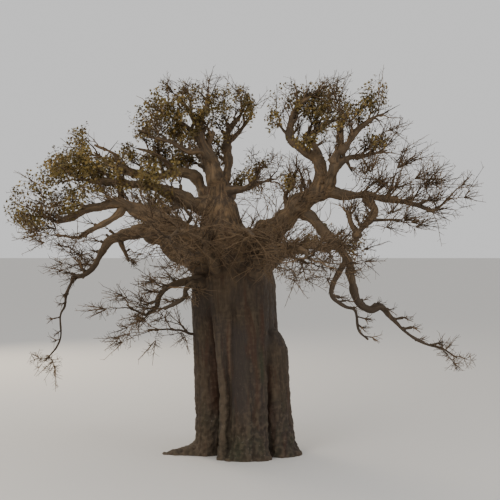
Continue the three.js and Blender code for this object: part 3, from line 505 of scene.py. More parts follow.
def station(heights, column):
    """The core's centre or radius between its stations, eased so that the outline has no kinks."""
    low = np.clip(np.searchsorted(CORE[:, 0], heights, side="right") - 1, 0, len(CORE) - 2)
    share = np.clip((heights - CORE[low, 0]) / (CORE[low + 1, 0] - CORE[low, 0]), 0, 1)
    eased = (share + smoothstep(share, 0, 1)) / 2
    return CORE[low, column] * (1 - eased) + CORE[low + 1, column] * eased


def trunk_axis(heights):
    return np.stack([station(heights, 1), station(heights, 2), heights], axis=-1)


def column_reach(column, axis, heights, bearings):
    """How far a column stands out along a bearing from the trunk's axis, or 0 where the bearing misses it."""
    foot, head, radii, top = column
    up = heights / top
    domed = np.clip((heights - top + COLUMN_DOME) / COLUMN_DOME, 0, 1)
    radius = (radii[0] + (radii[1] - radii[0]) * up) * np.sqrt(1 - domed**2)
    x = foot[0] + (head[0] - foot[0]) * up - axis[..., 0]
    y = foot[1] + (head[1] - foot[1]) * up - axis[..., 1]
    along = x * np.cos(bearings) + y * np.sin(bearings)
    spare = radius**2 - (x**2 + y**2 - along**2)
    return np.where((spare > 0) & (heights < top), along + np.sqrt(np.maximum(spare, 0)), 0)


def aside_from(bearings, degrees):
    """How far bearings lie from one in degrees, the shorter way round."""
    return (np.degrees(bearings) - degrees + 180) % 360 - 180


def trunk_radius(heights, bearings):
    """The trunk's radius at heights and bearings."""
    axis = trunk_axis(heights)
    radius = station(heights, 3)
    for column in COLUMNS:
        radius = np.maximum(radius, column_reach(column, axis, heights, bearings))
    root_reach = np.zeros(np.broadcast(heights, bearings).shape)
    for bearing, reach, width, height in ROOTS:
        low = np.clip(1 - heights / height, 0, None)
        root = reach * np.exp(-((aside_from(bearings, bearing) / width) ** 2)) * low**2
        root_reach = np.maximum(root_reach, root)
    return radius + FLARE_REACH * np.exp(-heights / FLARE_FADE) + root_reach


def groove_depth(heights, bearings):
    """How deep the folds between the columns are cut."""
    cut = np.zeros(np.broadcast(heights, bearings).shape)
    for bearing, depth, width, top in GROOVES:
        fade = 1 - smoothstep(heights, top * 0.45, top)
        cut += depth * fade * np.exp(-((aside_from(bearings, bearing) / width) ** 2))
    return cut


def bend_line(bends, samples=161):
    """A smooth line through the places it bends at, sampled closely."""
    places = np.array(bends, float)
    places = np.vstack([2 * places[0] - places[1], places, 2 * places[-1] - places[-2]])
    spans = len(places) - 3
    along = np.linspace(0, spans, samples)
    i = np.minimum(along.astype(int), spans - 1)
    u = (along - i)[:, None]
    before, start, end, after = places[i], places[i + 1], places[i + 2], places[i + 3]
    leaving, arriving = (end - before) / 2, (after - start) / 2
    return (
        start * (2 * u**3 - 3 * u**2 + 1)
        + leaving * (u**3 - 2 * u**2 + u)
        + end * (3 * u**2 - 2 * u**3)
        + arriving * (u**3 - u**2)
    )


def frames_along(points):
    """Headings along a line and two directions square to them, carried along it without twist."""
    headings = unit(np.gradient(points, axis=0))
    aside = np.array((1.0, 0, 0) if abs(headings[0, 2]) > 0.9 else (0, 0, 1.0))
    across = unit(np.cross(aside, headings[0]))
    turned = []
    for heading in headings:
        across = unit(across - heading * across.dot(heading))
        turned.append(across)
    across = np.array(turned)
    return headings, across, np.cross(headings, across)


class Limb:
    """A limb's centre line, and its radius along it."""

    def __init__(self, name, radii, bends):
        self.name = name
        self.foot_radius, self.tip_radius = radii
        self.line = bend_line(bends)
        self.measure()
        shares = self.lengths / self.length
        sway = SWAY * np.minimum(self.radius(shares), SWAY_GIRTH) * smoothstep(shares, 0, 0.12)
        self.line = self.line + sway[:, None] * self.stray(self.lengths * SWAY_RATE)
        self.measure()

    def measure(self):
        steps = np.linalg.norm(np.diff(self.line, axis=0), axis=1)
        self.lengths = np.concatenate([[0], np.cumsum(steps)])
        self.length = self.lengths[-1]

    def stray(self, distances):
        """Smooth seeded wandering along the limb, in three directions, the same in every run."""
        foot = Vector(self.line[0]) * 3.7 + Vector((0, 0, 41 * WANDER_SEED))
        ways = [foot + Vector((0, 23 * k, 0)) for k in range(3)]
        return np.array([[noise.noise(way + Vector((0, 0, d))) for way in ways] for d in distances]) * 2

    def at(self, shares):
        distances = np.asarray(shares) * self.length
        return np.stack([np.interp(distances, self.lengths, self.line[:, k]) for k in range(3)], axis=-1)

    def heading(self, share):
        step = 0.004
        return unit(self.at(min(share + step, 1)) - self.at(max(share - step, 0)))

    def radius(self, shares):
        thinning = (1 - np.asarray(shares)) ** LIMB_TAPER
        return self.tip_radius + (self.foot_radius - self.tip_radius) * thinning

    def share_of_radius(self, radius):
        """How far along the limb it has thinned to a radius."""
        if radius <= self.tip_radius:
            return 1.0
        spare = (radius - self.tip_radius) / (self.foot_radius - self.tip_radius)
        return float(1 - min(1, spare) ** (1 / LIMB_TAPER))


class Mass:
    """The space of a mass of twigs, and the limb that carries it."""

    def __init__(self, row, index):
        self.name, limb, self.along, middle, span, self.leafy = row
        self.limb = LIMB[limb]
        self.heart, self.span = np.array(middle, float), np.array(span, float)
        self.leafiness = LEAFINESS.get(self.name, USUAL_LEAFINESS)
        self.turn = index
        self.seed = FIRST_SEED + SEED_STEP * index
        self.area = float(np.prod(self.span) ** (2 / 3))

    def in_leaf(self, place):
        """Whether twigs at a place are in leaf: whole clumps of them are, or aren't."""
        clump = noise.noise(Vector(place) * LEAF_CLUMP + Vector((self.turn, 0, 0)))
        outer = BARE_EDGE * float(smoothstep(self.depth(np.asarray(place)), 0.6, 1.05))
        return self.leafy and clump + self.leafiness - outer > 0.5

    def depth(self, points):
        """How far out points lie: 0 in the middle of the space and 1 on its skin."""
        return np.linalg.norm((points - self.heart) / self.span, axis=-1)


LIMB = {name: Limb(name, radii, bends) for name, radii, bends in LIMBS + BRANCHES}
ALL_MASSES = [Mass(row, index) for index, row in enumerate(MASSES)]
ALL_TUFTS = [Mass(row, index + len(MASSES)) for index, row in enumerate(TUFTS)]


@functools.lru_cache(maxsize=None)
def limb_samples():
    """Round samples along every limb, which twigs keep clear of: places, radii and the limb of each."""
    spacing = 0.12
    places, radii, owners = [], [], []
    for i, limb in enumerate(LIMB.values()):
        shares = np.linspace(0, 1, math.ceil(limb.length / spacing) + 1)
        places.append(limb.at(shares))
        radii.append(limb.radius(shares) * SLIMMER.get(limb.name, 1))
        owners.append(np.full(len(shares), i))
    return np.vstack(places), np.concatenate(radii), np.concatenate(owners)


def clear_of_wood(limb, points, half_width):
    """Whether points of a twig that a limb carries stand clear of the trunk and of every limb."""
    high = np.minimum(points[:, 2], TRUNK_HEIGHT)
    aside = points - trunk_axis(high)
    away = np.hypot(aside[:, 0], aside[:, 1])
    reach = trunk_radius(high, np.arctan2(aside[:, 1], aside[:, 0])) + half_width + LIMB_CLEARANCE
    if np.any((away < reach) & (points[:, 2] < TRUNK_HEIGHT + half_width + LIMB_CLEARANCE)):
        return False
    places, radii, owners = limb_samples()
    own = owners == list(LIMB).index(limb.name)
    reach = np.where(own, radii, radii + half_width + LIMB_CLEARANCE)
    gaps = np.linalg.norm(points[:, None] - places[None], axis=2)
    return bool(np.all(gaps > reach))


def inside_space(mass, points, near_foot):
    """Whether points lie in a mass's own space. Near the stem's foot only other spaces are kept off."""
    depth = mass.depth(points)
    if np.any(points[:, 2] < KEEP_OFF_GROUND) or np.any((depth > 1 + SPACE_MARGIN) & ~near_foot):
        return False
    limit = np.minimum(depth, 1) + SPACE_MARGIN
    return not any(np.any(other.depth(points) < limit) for other in ALL_MASSES if other is not mass)


def goal_in(mass, i, count, shell, draw):
    """The i-th of count goals spread evenly round a mass, strayed a little by the seed."""
    up = 1 - 2 * (i + 0.5) / count
    turn = i * GOLDEN_ANGLE + mass.turn
    flat = math.sqrt(1 - up * up)
    stray = [JITTER * (draw() - 0.5) for _ in range(3)]
    goal = unit(np.array((flat * math.cos(turn), flat * math.sin(turn), up)) + stray)
    return goal * (shell[0] + (shell[1] - shell[0]) * draw()) * mass.span + mass.heart


class Wood:
    """The points of grown wood, and for each the one before it towards the foot."""

    def __init__(self):
        self.at, self.radius, self.back = [], [], []
        self.tree = None

    def add(self, points, radii, root):
        for i, (point, radius) in enumerate(zip(points, radii)):
            self.back.append(root if i == 0 else len(self.at) - 1)
            self.at.append(Vector(point))
            self.radius.append(radius)

    def settle(self):
        """Readies the points grown so far for spring()."""
        self.tree = kdtree.KDTree(len(self.at))
        for i, (at, back) in enumerate(zip(self.at, self.back)):
            if back >= 0:
                self.tree.insert(at, i)
        self.tree.balance()

    def spring(self, goal):
        """Where a twig springs from: the nearest wood to its goal, then back towards the foot."""
        _, far, shortest = self.tree.find(goal)
        at, back = self.at, self.back
        spare = BACKSTEP * shortest
        step = (at[far] - at[back[far]]).length
        while spare > step and back[back[far]] >= 0:
            spare -= step
            far = back[far]
            step = (at[far] - at[back[far]]).length
        near = back[far]
        share = min(spare / max(step, 1e-9), 1 - STEM_BARE_FOOT if back[near] < 0 else 1)
        place = at[far].lerp(at[near], share)
        heading = (at[far] - at[near]).normalized()
        radius = self.radius[far] + (self.radius[near] - self.radius[far]) * share
        return np.array(place), np.array(heading), radius, near


def twig_path(start, heading, goal, shares, carry_on=CARRY_ON):
    """Points of a twig that leaves its spring along the wood there and bends to its goal."""
    bend = start + heading * carry_on * np.linalg.norm(goal - start)
    t = np.asarray(shares)[:, None]
    return start * (1 - t) ** 2 + bend * 2 * t * (1 - t) + goal * t**2


class Twig:
    """A grown twig: its line, its level from 0 for a stem, whether it is in leaf, and how pale it is."""

    def __init__(self, points, radii, level, leafy, depth, pale=0.0):
        self.points, self.radii = points, radii
        self.level, self.leafy, self.depth, self.pale = level, leafy, depth, pale


def crooked(points, draw, amount):
    """A line with small sideways strays between its ends."""
    length = np.linalg.norm(points[-1] - points[0])
    strayed = points.copy()
    for i in range(1, len(points) - 1):
        strayed[i] += [amount * length * (draw() - 0.5) for _ in range(3)]
    return strayed


def leaf_share(mass, level, length):
    if not mass.leafy:
        return 0
    return min(1 if level["steps"] == 0 else 0.6, SPRAY_REACH / length)


def grow_stem(mass):
    """The stem that runs from the limb to the middle of the mass."""
    foot, heading = mass.limb.at(mass.along), mass.limb.heading(mass.along)
    if mass.along < 1:
        heading = unit(mass.heart - foot)
    width = min(float(mass.limb.radius(mass.along)) * STEM_SHARE, STEM_WIDEST)
    line = twig_path(foot, heading, mass.heart, np.linspace(0, 1, STEM_STEPS + 1))
    return line, width + (width * STEM_TAPER - width) * np.linspace(0, 1, STEM_STEPS + 1), heading


def grow_mass(mass, fullness=1.0, strict=True):
    """The stem and twigs of a mass, level by level as the part's source grows them, and then finer ones."""
    draw = seeded(mass.seed)
    stray = seeded(mass.seed + 7)
    line, radii, heading = grow_stem(mass)
    smooth = np.linspace(0, 1, 9)
    stem_line = twig_path(line[0], heading, mass.heart, smooth)
    stem_radii = radii[0] + (STEM_TIP - radii[0]) * smooth
    twigs = [Twig(crooked(stem_line, stray, 0.03), stem_radii, 0, False, 0)]
    clumps = []
    wood, fine = Wood(), Wood()
    wood.add(line, radii, -1)
    fine.add(stem_line, stem_radii, -1)
    for rank, level in enumerate(SOURCE_LEVELS[mass.leafy], start=1):
        wood.settle()
        count = round(level["base"] + level["per_area"] * mass.area)
        for i in range(count):
            goal = goal_in(mass, i, count, level["shell"], draw)
            # The source draws one more number here, for a turn.
            draw()
            start, heading, radius, root = wood.spring(goal)
            if level["steps"] == 0:
                goal = start + unit(goal - start) * SPRAY_REACH
            path = twig_path(start, heading, goal, EIGHTHS)
            length = np.linalg.norm(np.diff(path, axis=0), axis=1).sum()
            leaf = leaf_share(mass, level, length)
            half_width = level["radius"] if leaf == 0 else LEAFY_HALF_WIDTH
            if strict and not inside_space(mass, path, EIGHTHS < 0.5):
                continue
            if not clear_of_wood(mass.limb, path, half_width):
                continue
            wood_share = 1 - max(leaf, 1 / (level["steps"] + 1))
            foot_radius = min(level["radius"], radius * FORK_TAPER)
            along = np.linspace(0, 1, level["steps"] + 1)
            coarse = twig_path(start, heading, goal, along * wood_share)
            wood.add(coarse, foot_radius + (level["tip"] - foot_radius) * along, root)
            shares = np.linspace(0, 1, max(4, round(length / POINT_SPACING)))
            points = crooked(twig_path(start, heading, goal, shares), stray, 0.07)
            tip = level["tip"] * 0.6
            widest = max(foot_radius, 0.016)
            if rank == 1:
                widest = min(LEVEL_ONE_RADIUS, radius * 0.7, length * LEVEL_ONE_SLIMNESS)
            thinning = tip + (widest - tip) * (1 - shares) ** 0.8
            twigs.append(Twig(points, thinning, rank, mass.in_leaf(goal), float(mass.depth(goal))))
            fine.add(points, thinning, -1)
            clumps.append(points[-1])
    return twigs + grow_clumps(mass, fine, clumps, fullness, stray)


def grow_clumps(mass, fine, clumps, fullness, draw):
    """The shoots that stand out of a mass's clumps, and the finer twigs that crowd them."""
    grown = []
    leafy = [mass.in_leaf(centre) for centre in clumps]
    shortest, longest = SHOOT_LENGTH
    shoots, stretch = SPIKY.get(mass.name, (CLUMP_SHOOTS[mass.leafy], 1.0))
    crowding = CROWDING.get(mass.name, 1 if mass.leafy else BARE_CROWDING)
    for centre, in_leaf in zip(clumps, leafy):
        for _ in range(shoots):
            outward = unit(centre - mass.heart)
            lean = unit(leaning(centre) + outward * 0.7 + random_direction(draw) * 0.8)
            goal = centre + lean * (shortest + (longest - shortest) * draw()) * stretch
            shoot = grow_shoot(mass.limb, centre, lean, goal, SHOOT, in_leaf, draw)
            grown.extend(shoot)
            if shoot:
                fine.add(shoot[0].points, shoot[0].radii, -1)
    for rank, level in enumerate(CLUMP_LEVELS, start=3):
        fine.settle()
        count = round(level["twigs"] * fullness * crowding)
        for centre, in_leaf in zip(clumps, leafy):
            for _ in range(count):
                goal = centre + random_direction(draw) * level["spread"] * draw() ** (1 / 3)
                start, heading, radius, _ = fine.spring(goal)
                away = np.linalg.norm(goal - start)
                goal = start + (goal - start) * min(1, level["reach"] / away)
                if not may_grow(mass.limb, twig_path(start, heading, goal, EIGHTHS), level["radius"]):
                    continue
                shares = np.linspace(0, 1, level["steps"])
                points = crooked(twig_path(start, heading, goal, shares), draw, 0.09)
                foot_radius = min(level["radius"], radius * 0.8)
                thinning = foot_radius + (level["tip"] - foot_radius) * shares
                grown.append(Twig(points, thinning, rank, in_leaf, float(mass.depth(goal))))
                fine.add(points, thinning, -1)
    return grown


def may_grow(limb, path, room):
    """Whether a twig keeps within the crown's reach, clear of the limbs and out of its open spaces."""
    return in_reach(path) and not shows_sky(path[-1]) and clear_of_wood(limb, path[1:], room)


def in_reach(points, margin=OUTSIDE_BOX):
    """Whether points stay within the reach of the solids, but for a margin."""
    low, high = np.array(CAD_BOX[0]) - margin, np.array(CAD_BOX[1]) + margin
    return bool(np.all((points > low) & (points < high)))


def grow_shoot(limb, start, heading, goal, kind, in_leaf, draw):
    """A thin shoot and then its side twigs, or nothing where it may not grow."""
    if not may_grow(limb, twig_path(start, heading, goal, EIGHTHS, kind["bow"]), kind["room"]):
        return []
    shares = np.linspace(0, 1, kind["steps"])
    points = crooked(twig_path(start, heading, goal, shares, kind["bow"]), draw, kind["stray"])
    radii = kind["tip"] + (kind["radius"] - kind["tip"]) * (1 - shares) ** kind["taper"]
    leafy = in_leaf and (kind["leafy"] == 1 or draw() < kind["leafy"])
    shoot = Twig(points, radii, 2, leafy, kind["depth"], kind["pale"])
    return [shoot] + side_twigs(points, radii, in_leaf, draw, kind["pale"])


def side_twigs(points, radii, leafy, draw, pale):
    """Short twigs that stand off a shoot on alternate sides."""
    heading = unit(points[-1] - points[0])
    length = float(np.linalg.norm(points[-1] - points[0]))
    grown = []
    count = int(length * 0.75 / SIDE_TWIG_SPACING)
    across = unit(np.cross(heading, [draw() - 0.5, draw() - 0.5, draw() - 0.5]))
    for i in range(count):
        share = 0.22 + 0.76 * (i + draw()) / max(count, 1)
        place = min(share, 0.98) * (len(points) - 1)
        near = int(place)
        foot = points[near] + (points[near + 1] - points[near]) * (place - near)
        turned = math.cos(i * 2.4) * across + math.sin(i * 2.4) * np.cross(heading, across)
        reach = (0.16 + 0.3 * draw()) * (1.15 - 0.5 * share)
        goal = foot + unit(heading * 0.9 + turned + np.array((0, 0, 0.25))) * reach
        if not in_reach(goal[None]):
            continue
        line = crooked(twig_path(foot, heading, goal, np.linspace(0, 1, 3)), draw, 0.1)
        radius = min(SIDE_TWIG_RADIUS, radii[near] * 0.8)
        grown.append(Twig(line, np.array([radius, radius * 0.75, radius * 0.5]), 4, leafy, 0.8, pale))
    return grown


def grow_whorls(limb, index):
    """The whorls of a limb: the stubs that carry them, and their shoots with side twigs."""
    first, spacing, reach, leafy_share = WHORLS[limb.name]
    run = WHORL_ENDS.get(limb.name, 1.0) - first
    draw = seeded(WHORL_SEED + SEED_STEP * index)
    count = max(1, round(run * limb.length / spacing))
    stubs, twigs = [], []
    for i in range(count):
        share = min(first + run * (i + 0.35 + 0.5 * draw()) / count, 0.995)
        centre, along, radius = limb.at(share), limb.heading(share), float(limb.radius(share))
        level = unit(np.cross(along, (0.0, 0.0, 1.0)) + 1e-6)
        over = np.cross(level, along)
        over = over if over[2] >= 0 else -over
        turn = WHORL_SPREAD * (2 * draw() - 1)
        outward = unit(over * math.cos(turn) + level * math.sin(turn))
        near_tip = float(smoothstep(share, 0.75, 1.0))
        heading = unit(outward * 0.7 + along * (0.4 + near_tip) + leaning(centre) * 0.7 * (1 - near_tip))
        leafy = draw() < leafy_share
        stub = min(STUB_RADIUS, radius * 0.55) * (0.8 + 0.5 * draw())
        foot = centre + outward * radius * 0.55
        top = centre + outward * radius + heading * (0.08 + 0.22 * draw())
        if not in_reach(top[None]):
            continue
        stubs.append((foot, top, stub))
        for _ in range(WHORL_SHOOTS[0] + int(draw() * (WHORL_SHOOTS[1] - WHORL_SHOOTS[0]))):
            aim = unit(heading + random_direction(draw) * 0.7)
            goal = top + aim * reach * (0.5 + 0.65 * draw()) * radius_share(radius)
            twigs.extend(grow_shoot(limb, top, heading, goal, WHORL_SHOOT, leafy, draw))
    return stubs, twigs


def grow_strands(limb, index):
    """Long thin twigs that spring from a limb and sweep aside in the limb's own directions."""
    count, first, last, reach, leans = STRANDS[limb.name]
    draw = seeded(STRAND_SEED + SEED_STEP * index)
    grown = []
    for i in range(count):
        share = first + (last - first) * (i + draw()) / count
        lean = unit(np.array(leans[int(draw() * len(leans))]) + random_direction(draw) * 0.55)
        along = limb.heading(share)
        outward = unit(lean - along * lean.dot(along) + np.array((0, -0.3, 0.1)))
        foot = limb.at(share) + outward * limb_radii(limb, np.array([share * limb.length]))[0] * 0.98
        goal = foot + lean * reach * (0.45 + 0.6 * draw())
        goal[2] = max(goal[2], STRAND_LOWEST + 0.5 * draw())
        heading = unit(along * 0.8 + outward * 0.6)
        grown.extend(grow_shoot(limb, foot, heading, goal, STRAND, False, draw))
    return grown


def radius_share(radius):
    """How long shoots grow on wood of a radius, against those on the thinnest."""
    return 1.05 - 0.3 * min(radius / 0.5, 1)


def stub_shell(foot, top, radius):
    """A stub as a closed tube, knobbly at its top."""
    line = twig_path(foot, unit(top - foot), top, np.linspace(0, 1, 5))
    return tube(line, radius * STUB_PROFILE, 8)


@functools.lru_cache(maxsize=None)
def all_whorls():
    """The whorls of every limb, with the limb's name."""
    return {name: grow_whorls(limb, i) for i, (name, limb) in enumerate(LIMB.items())}


# Node trees

class Term:
    """A socket that takes part in an expression, which adds its Math nodes to the net."""

    def __init__(self, net, socket):
        self.net, self.socket = net, socket

    def __add__(self, other):
        return self.net.math("ADD", self, other)

    def __sub__(self, other):
        return self.net.math("SUBTRACT", self, other)

    def __rsub__(self, other):
        return self.net.math("SUBTRACT", other, self)

    def __mul__(self, other):
        return self.net.math("MULTIPLY", self, other)

    def __truediv__(self, other):
        return self.net.math("DIVIDE", self, other)

    def __rtruediv__(self, other):
        return self.net.math("DIVIDE", other, self)

    __radd__ = __add__
    __rmul__ = __mul__

    def between(self, low, high):
        """0 below low, 1 above high and smooth between them."""
        settings = {"interpolation_type": "SMOOTHSTEP"}
        return self.net.node("ShaderNodeMapRange", settings, {0: self, 1: low, 2: high}, "Result")

    def at_most(self, other):
        return self.net.math("MINIMUM", self, other)

    def at_least(self, other):
        return self.net.math("MAXIMUM", self, other)


class Net:
    """A node tree under construction."""

    def __init__(self, tree):
        self.tree = tree

    def plug(self, socket, value):
        """Links a term to a socket, or sets the socket's own value."""
        if isinstance(value, Term):
            self.tree.links.new(value.socket, socket)
        else:
            socket.default_value = value

    def node(self, kind, settings=None, sockets=None, output=0):
        """Adds a node: its settings first, then the values or links of its sockets. Returns an output."""
        node = self.tree.nodes.new(kind)
        for name, value in (settings or {}).items():
            setattr(node, name, value)
        for key, value in (sockets or {}).items():
            self.plug(node.inputs[key], value)
        return Term(self, node.outputs[output]) if node.outputs else node

    def math(self, operation, *values):
        return self.node("ShaderNodeMath", {"operation": operation}, dict(enumerate(values)))

    def vector(self, operation, *values):
        return self.node("ShaderNodeVectorMath", {"operation": operation}, dict(enumerate(values)))

    def noise(self, vector, scale, detail=3.0, roughness=0.55, distortion=0.0):
        """Noise at places that are scaled along each axis."""
        sockets = {
            "Vector": self.vector("MULTIPLY", vector, scale), "Scale": 1.0, "Detail": detail,
            "Roughness": roughness, "Distortion": distortion}
        return self.node("ShaderNodeTexNoise", None, sockets)

    def mix(self, share, first, second):
        """Two colours mixed by a share from 0 to 1."""
        return self.node("ShaderNodeMix", {"data_type": "RGBA"}, {0: share, 6: first, 7: second}, 2)

    def ridge(self, value):
        """A crest where a noise passes its middle, and a valley away from it."""
        return 1 - self.math("ABSOLUTE", value - 0.5) * 4


class Finish(Net):
    """A material: its nodes and its Principled shader."""

    def __init__(self, name):
        self.material = bpy.data.materials.new(name)
        self.material.use_nodes = True
        super().__init__(self.material.node_tree)
        self.shader = self.tree.nodes["Principled BSDF"]
        self.places = self.node("ShaderNodeTexCoord", None, None, "Object")

    def attribute(self, name, output="Fac"):
        return self.node("ShaderNodeAttribute", {"attribute_name": name}, None, output)

    def height_above_ground(self):
        return self.node("ShaderNodeSeparateXYZ", None, {0: self.places}, 2)

    def bump(self, height, distance, strength):
        sockets = {"Height": height, "Distance": distance, "Strength": strength}
        return self.node("ShaderNodeBump", None, sockets)

    def set(self, name, value):
        self.plug(self.shader.inputs[name], value)


class Rule(Net):
    """A Geometry Nodes tree with named inputs, which ends in realized instances and one material."""

    KINDS = {float: "NodeSocketFloat", int: "NodeSocketInt"}

    def __init__(self, name, inputs):
        super().__init__(bpy.data.node_groups.new(name, "GeometryNodeTree"))
        sockets = self.tree.interface
        sockets.new_socket("Geometry", in_out="INPUT", socket_type="NodeSocketGeometry")
        for label, default in inputs.items():
            socket = sockets.new_socket(label, in_out="INPUT", socket_type=self.KINDS[type(default)])
            socket.default_value = default
        for label, kind in (("Shapes", "NodeSocketCollection"), ("Material", "NodeSocketMaterial")):
            sockets.new_socket(label, in_out="INPUT", socket_type=kind)
        sockets.new_socket("Geometry", in_out="OUTPUT", socket_type="NodeSocketGeometry")
        self.entry = self.tree.nodes.new("NodeGroupInput")

    def given(self, name):
        return Term(self, self.entry.outputs[name])

    def attribute(self, name, data_type="FLOAT"):
        sockets = {"Name": name}
        return self.node("GeometryNodeInputNamedAttribute", {"data_type": data_type}, sockets, "Attribute")

    def close(self, geometry):
        """Ends the tree."""
        smooth = self.node("GeometryNodeSetShadeSmooth", None, {"Geometry": geometry})
        realized = self.node("GeometryNodeRealizeInstances", None, {"Geometry": smooth})
        clothed = self.node(
            "GeometryNodeSetMaterial", None, {"Geometry": realized, "Material": self.given("Material")})
        self.node("NodeGroupOutput", None, {"Geometry": clothed})

    def apply(self, holder, values):
        """Runs the tree on an object, which keeps the plain result."""
        modifier = holder.modifiers.new(self.tree.name, "NODES")
        modifier.node_group = self.tree
        for socket in self.tree.interface.items_tree:
            if socket.in_out == "INPUT" and socket.name in values:
                modifier[socket.identifier] = values[socket.name]
        return settle(holder)


# Meshes

def settle(holder):
    """Turns the result of an object's modifiers into its own plain mesh."""
    depsgraph = bpy.context.evaluated_depsgraph_get()
    solved = holder.evaluated_get(depsgraph)
    mesh = bpy.data.meshes.new_from_object(solved, preserve_all_data_layers=True, depsgraph=depsgraph)
    holder.modifiers.clear()
    unused = holder.data
    holder.data = mesh
    mesh.name = holder.name
    bpy.data.meshes.remove(unused)
    return holder


def new_object(name, vertices, edges=(), faces=(), attributes=None):
    """A mesh object at the origin, with point attributes given as name: values."""
    mesh = bpy.data.meshes.new(name)
    mesh.from_pydata(np.asarray(vertices).tolist(), [tuple(e) for e in edges], [tuple(f) for f in faces])
    for label, values in (attributes or {}).items():
        store(mesh, label, values)
    mesh.update()
    holder = bpy.data.objects.new(name, mesh)
    bpy.context.scene.collection.objects.link(holder)
    return holder


ATTRIBUTE_KINDS = {"f": "FLOAT", "i": "INT", "b": "BOOLEAN"}


def store(mesh, label, values):
    """Writes a point attribute of a mesh, of the kind that its values have."""
    values = np.asarray(values)
    kind = "FLOAT_VECTOR" if values.shape[1:] == (3,) else ATTRIBUTE_KINDS[values.dtype.kind]
    layer = mesh.attributes.new(label, kind, "POINT")
    layer.data.foreach_set("vector" if kind == "FLOAT_VECTOR" else "value", values.ravel())


def rows_of(collection, field):
    """A field of each item of a mesh's collection, as rows of three numbers."""
    flat = np.empty(len(collection) * 3, np.float32)
    collection.foreach_get(field, flat)
    return flat.reshape(-1, 3).astype(float)


def places_of(mesh):
    return rows_of(mesh.vertices, "co")


def normals_of(mesh):
    return rows_of(mesh.vertex_normals, "vector")


def ring_faces(rings, sides):
    """The faces between rings of points that follow each other, and the fans that close both ends."""
    faces = []
    for ring in range(rings - 1):
        for side in range(sides):
            after = (side + 1) % sides
            low, high = ring * sides, (ring + 1) * sides
            faces.append((low + side, low + after, high + after, high + side))
    foot, head, last = rings * sides, rings * sides + 1, (rings - 1) * sides
    for side in range(sides):
        after = (side + 1) % sides
        faces.append((after, side, foot))
        faces.append((last + side, last + after, head))
    return faces


END_ROUNDING, END_BULGE = (0.35, 0.7), 0.6


def tube(points, radii, sides):
    """A closed tube with rounded ends: vertices, faces and, at each vertex, its grain and the radius."""
    headings, across, upward = frames_along(points)
    lengths = np.concatenate([[0], np.cumsum(np.linalg.norm(np.diff(points, axis=0), axis=1))])

    def end_rings(i, way, shares):
        bulge = way * headings[i] * radii[i] * END_BULGE
        return [(points[i] + bulge * math.sqrt(1 - k * k), radii[i] * k, i) for k in shares]

    body = [(point, radius, i) for i, (point, radius) in enumerate(zip(points, radii))]
    rings = end_rings(0, -1, END_ROUNDING) + body + end_rings(-1, 1, END_ROUNDING[::-1])
    poles = end_rings(0, -1, (0,)) + end_rings(-1, 1, (0,))
    turn = np.linspace(0, 2 * math.pi, sides, endpoint=False)
    vertices, grain, girth = [], [], []
    for centre, radius, i in rings:
        spokes = np.outer(np.cos(turn), across[i]) + np.outer(np.sin(turn), upward[i])
        vertices.append(centre + radius * spokes)
        around = radius * np.stack([np.cos(turn), np.sin(turn)], axis=1)
        grain.append(np.column_stack([around, np.full(sides, lengths[i])]))
        girth.append(np.full(sides, radius))
    vertices.append(np.array([pole[0] for pole in poles]))
    grain.append(np.array([(0, 0, lengths[0]), (0, 0, lengths[-1])]))
    girth.append(np.array([radii[0], radii[-1]]))
    return np.vstack(vertices), ring_faces(len(rings), sides), np.vstack(grain), np.concatenate(girth)


def join_shells(shells):
    """Several shells, each vertices and faces first, as one: each field stacked, the faces renumbered."""
    vertices, faces, start = [], [], 0
    for shell in shells:
        vertices.append(shell[0])
        faces.extend(tuple(i + start for i in face) for face in shell[1])
        start += len(shell[0])
    rest = [np.concatenate([shell[k] for shell in shells]) for k in range(2, len(shells[0]))]
    return [np.vstack(vertices), faces] + rest


class Relaxer:
    """Evens values over the vertices of a mesh along its edges."""

    def __init__(self, mesh):
        ends = np.empty(len(mesh.edges) * 2, np.int32)
        mesh.edges.foreach_get("vertices", ends)
        self.start, self.end = ends.reshape(-1, 2).T
        self.count = len(mesh.vertices)
        both = np.concatenate([self.start, self.end])
        self.neighbours = np.maximum(np.bincount(both, minlength=self.count), 1)

    def mean(self, values):
        """The mean of each vertex's neighbours."""
        sums = [
            np.bincount(self.start, column[self.end], self.count)
            + np.bincount(self.end, column[self.start], self.count)
            for column in values.T]
        return np.stack(sums, axis=1) / self.neighbours[:, None]

    def even(self, values, rounds, share=0.5):
        for _ in range(rounds):
            values = values + share * (self.mean(values) - values)
        return values


# Trunk and boughs

TRUNK_SIDES = 168
TRUNK_RING = 0.08
BELOW_GROUND = 0.3
TRUNK_CROWN = 0.3
TRUNK_NARROWING, NARROWING_HEIGHT = 0.45, 1.3
CROTCH_FILL, CROTCH_HEIGHTS = 0.8, (5.8, 7.4)
SMOOTH_BEARING, SMOOTH_WIDTH, SMOOTH_HEIGHTS = 265, 13, (2.2, 5.0)
SEAM_WIDTH = 0.2

# Stains that have a place on the trunk, and one painted highlight: kind, bearing and width in degrees, and
# the heights between which they show.
STAINS = (
    ("rusty", 221, 5.0, 1.8, 5.6),
    ("rusty", 250, 2.2, 3.4, 5.4),
    ("rusty", 297, 4.0, 4.2, 6.2),
    ("rusty", 313, 4.0, 1.5, 3.6),
    ("mossy", 231, 6.5, 0.0, 3.0),
    ("mossy", 295, 4.0, 3.2, 4.5),
    ("mossy", 262, 14.0, 0.0, 0.8),
    # A painted highlight: the pale line along the middle column's left edge.
    ("worn", 251, 1.1, 1.6, 5.4),
    ("worn", 202, 12.0, 0.0, 0.9),
)
LIMB_SIDES = 20
THIN_SIDES = 12
COLLAR, COLLAR_FADE = 0.3, 1.2
SWELLING, SWELLING_RATE = 0.19, 2.1
HANDOVER_RADIUS = 0.16
HANDOVER_LENGTH = 0.25


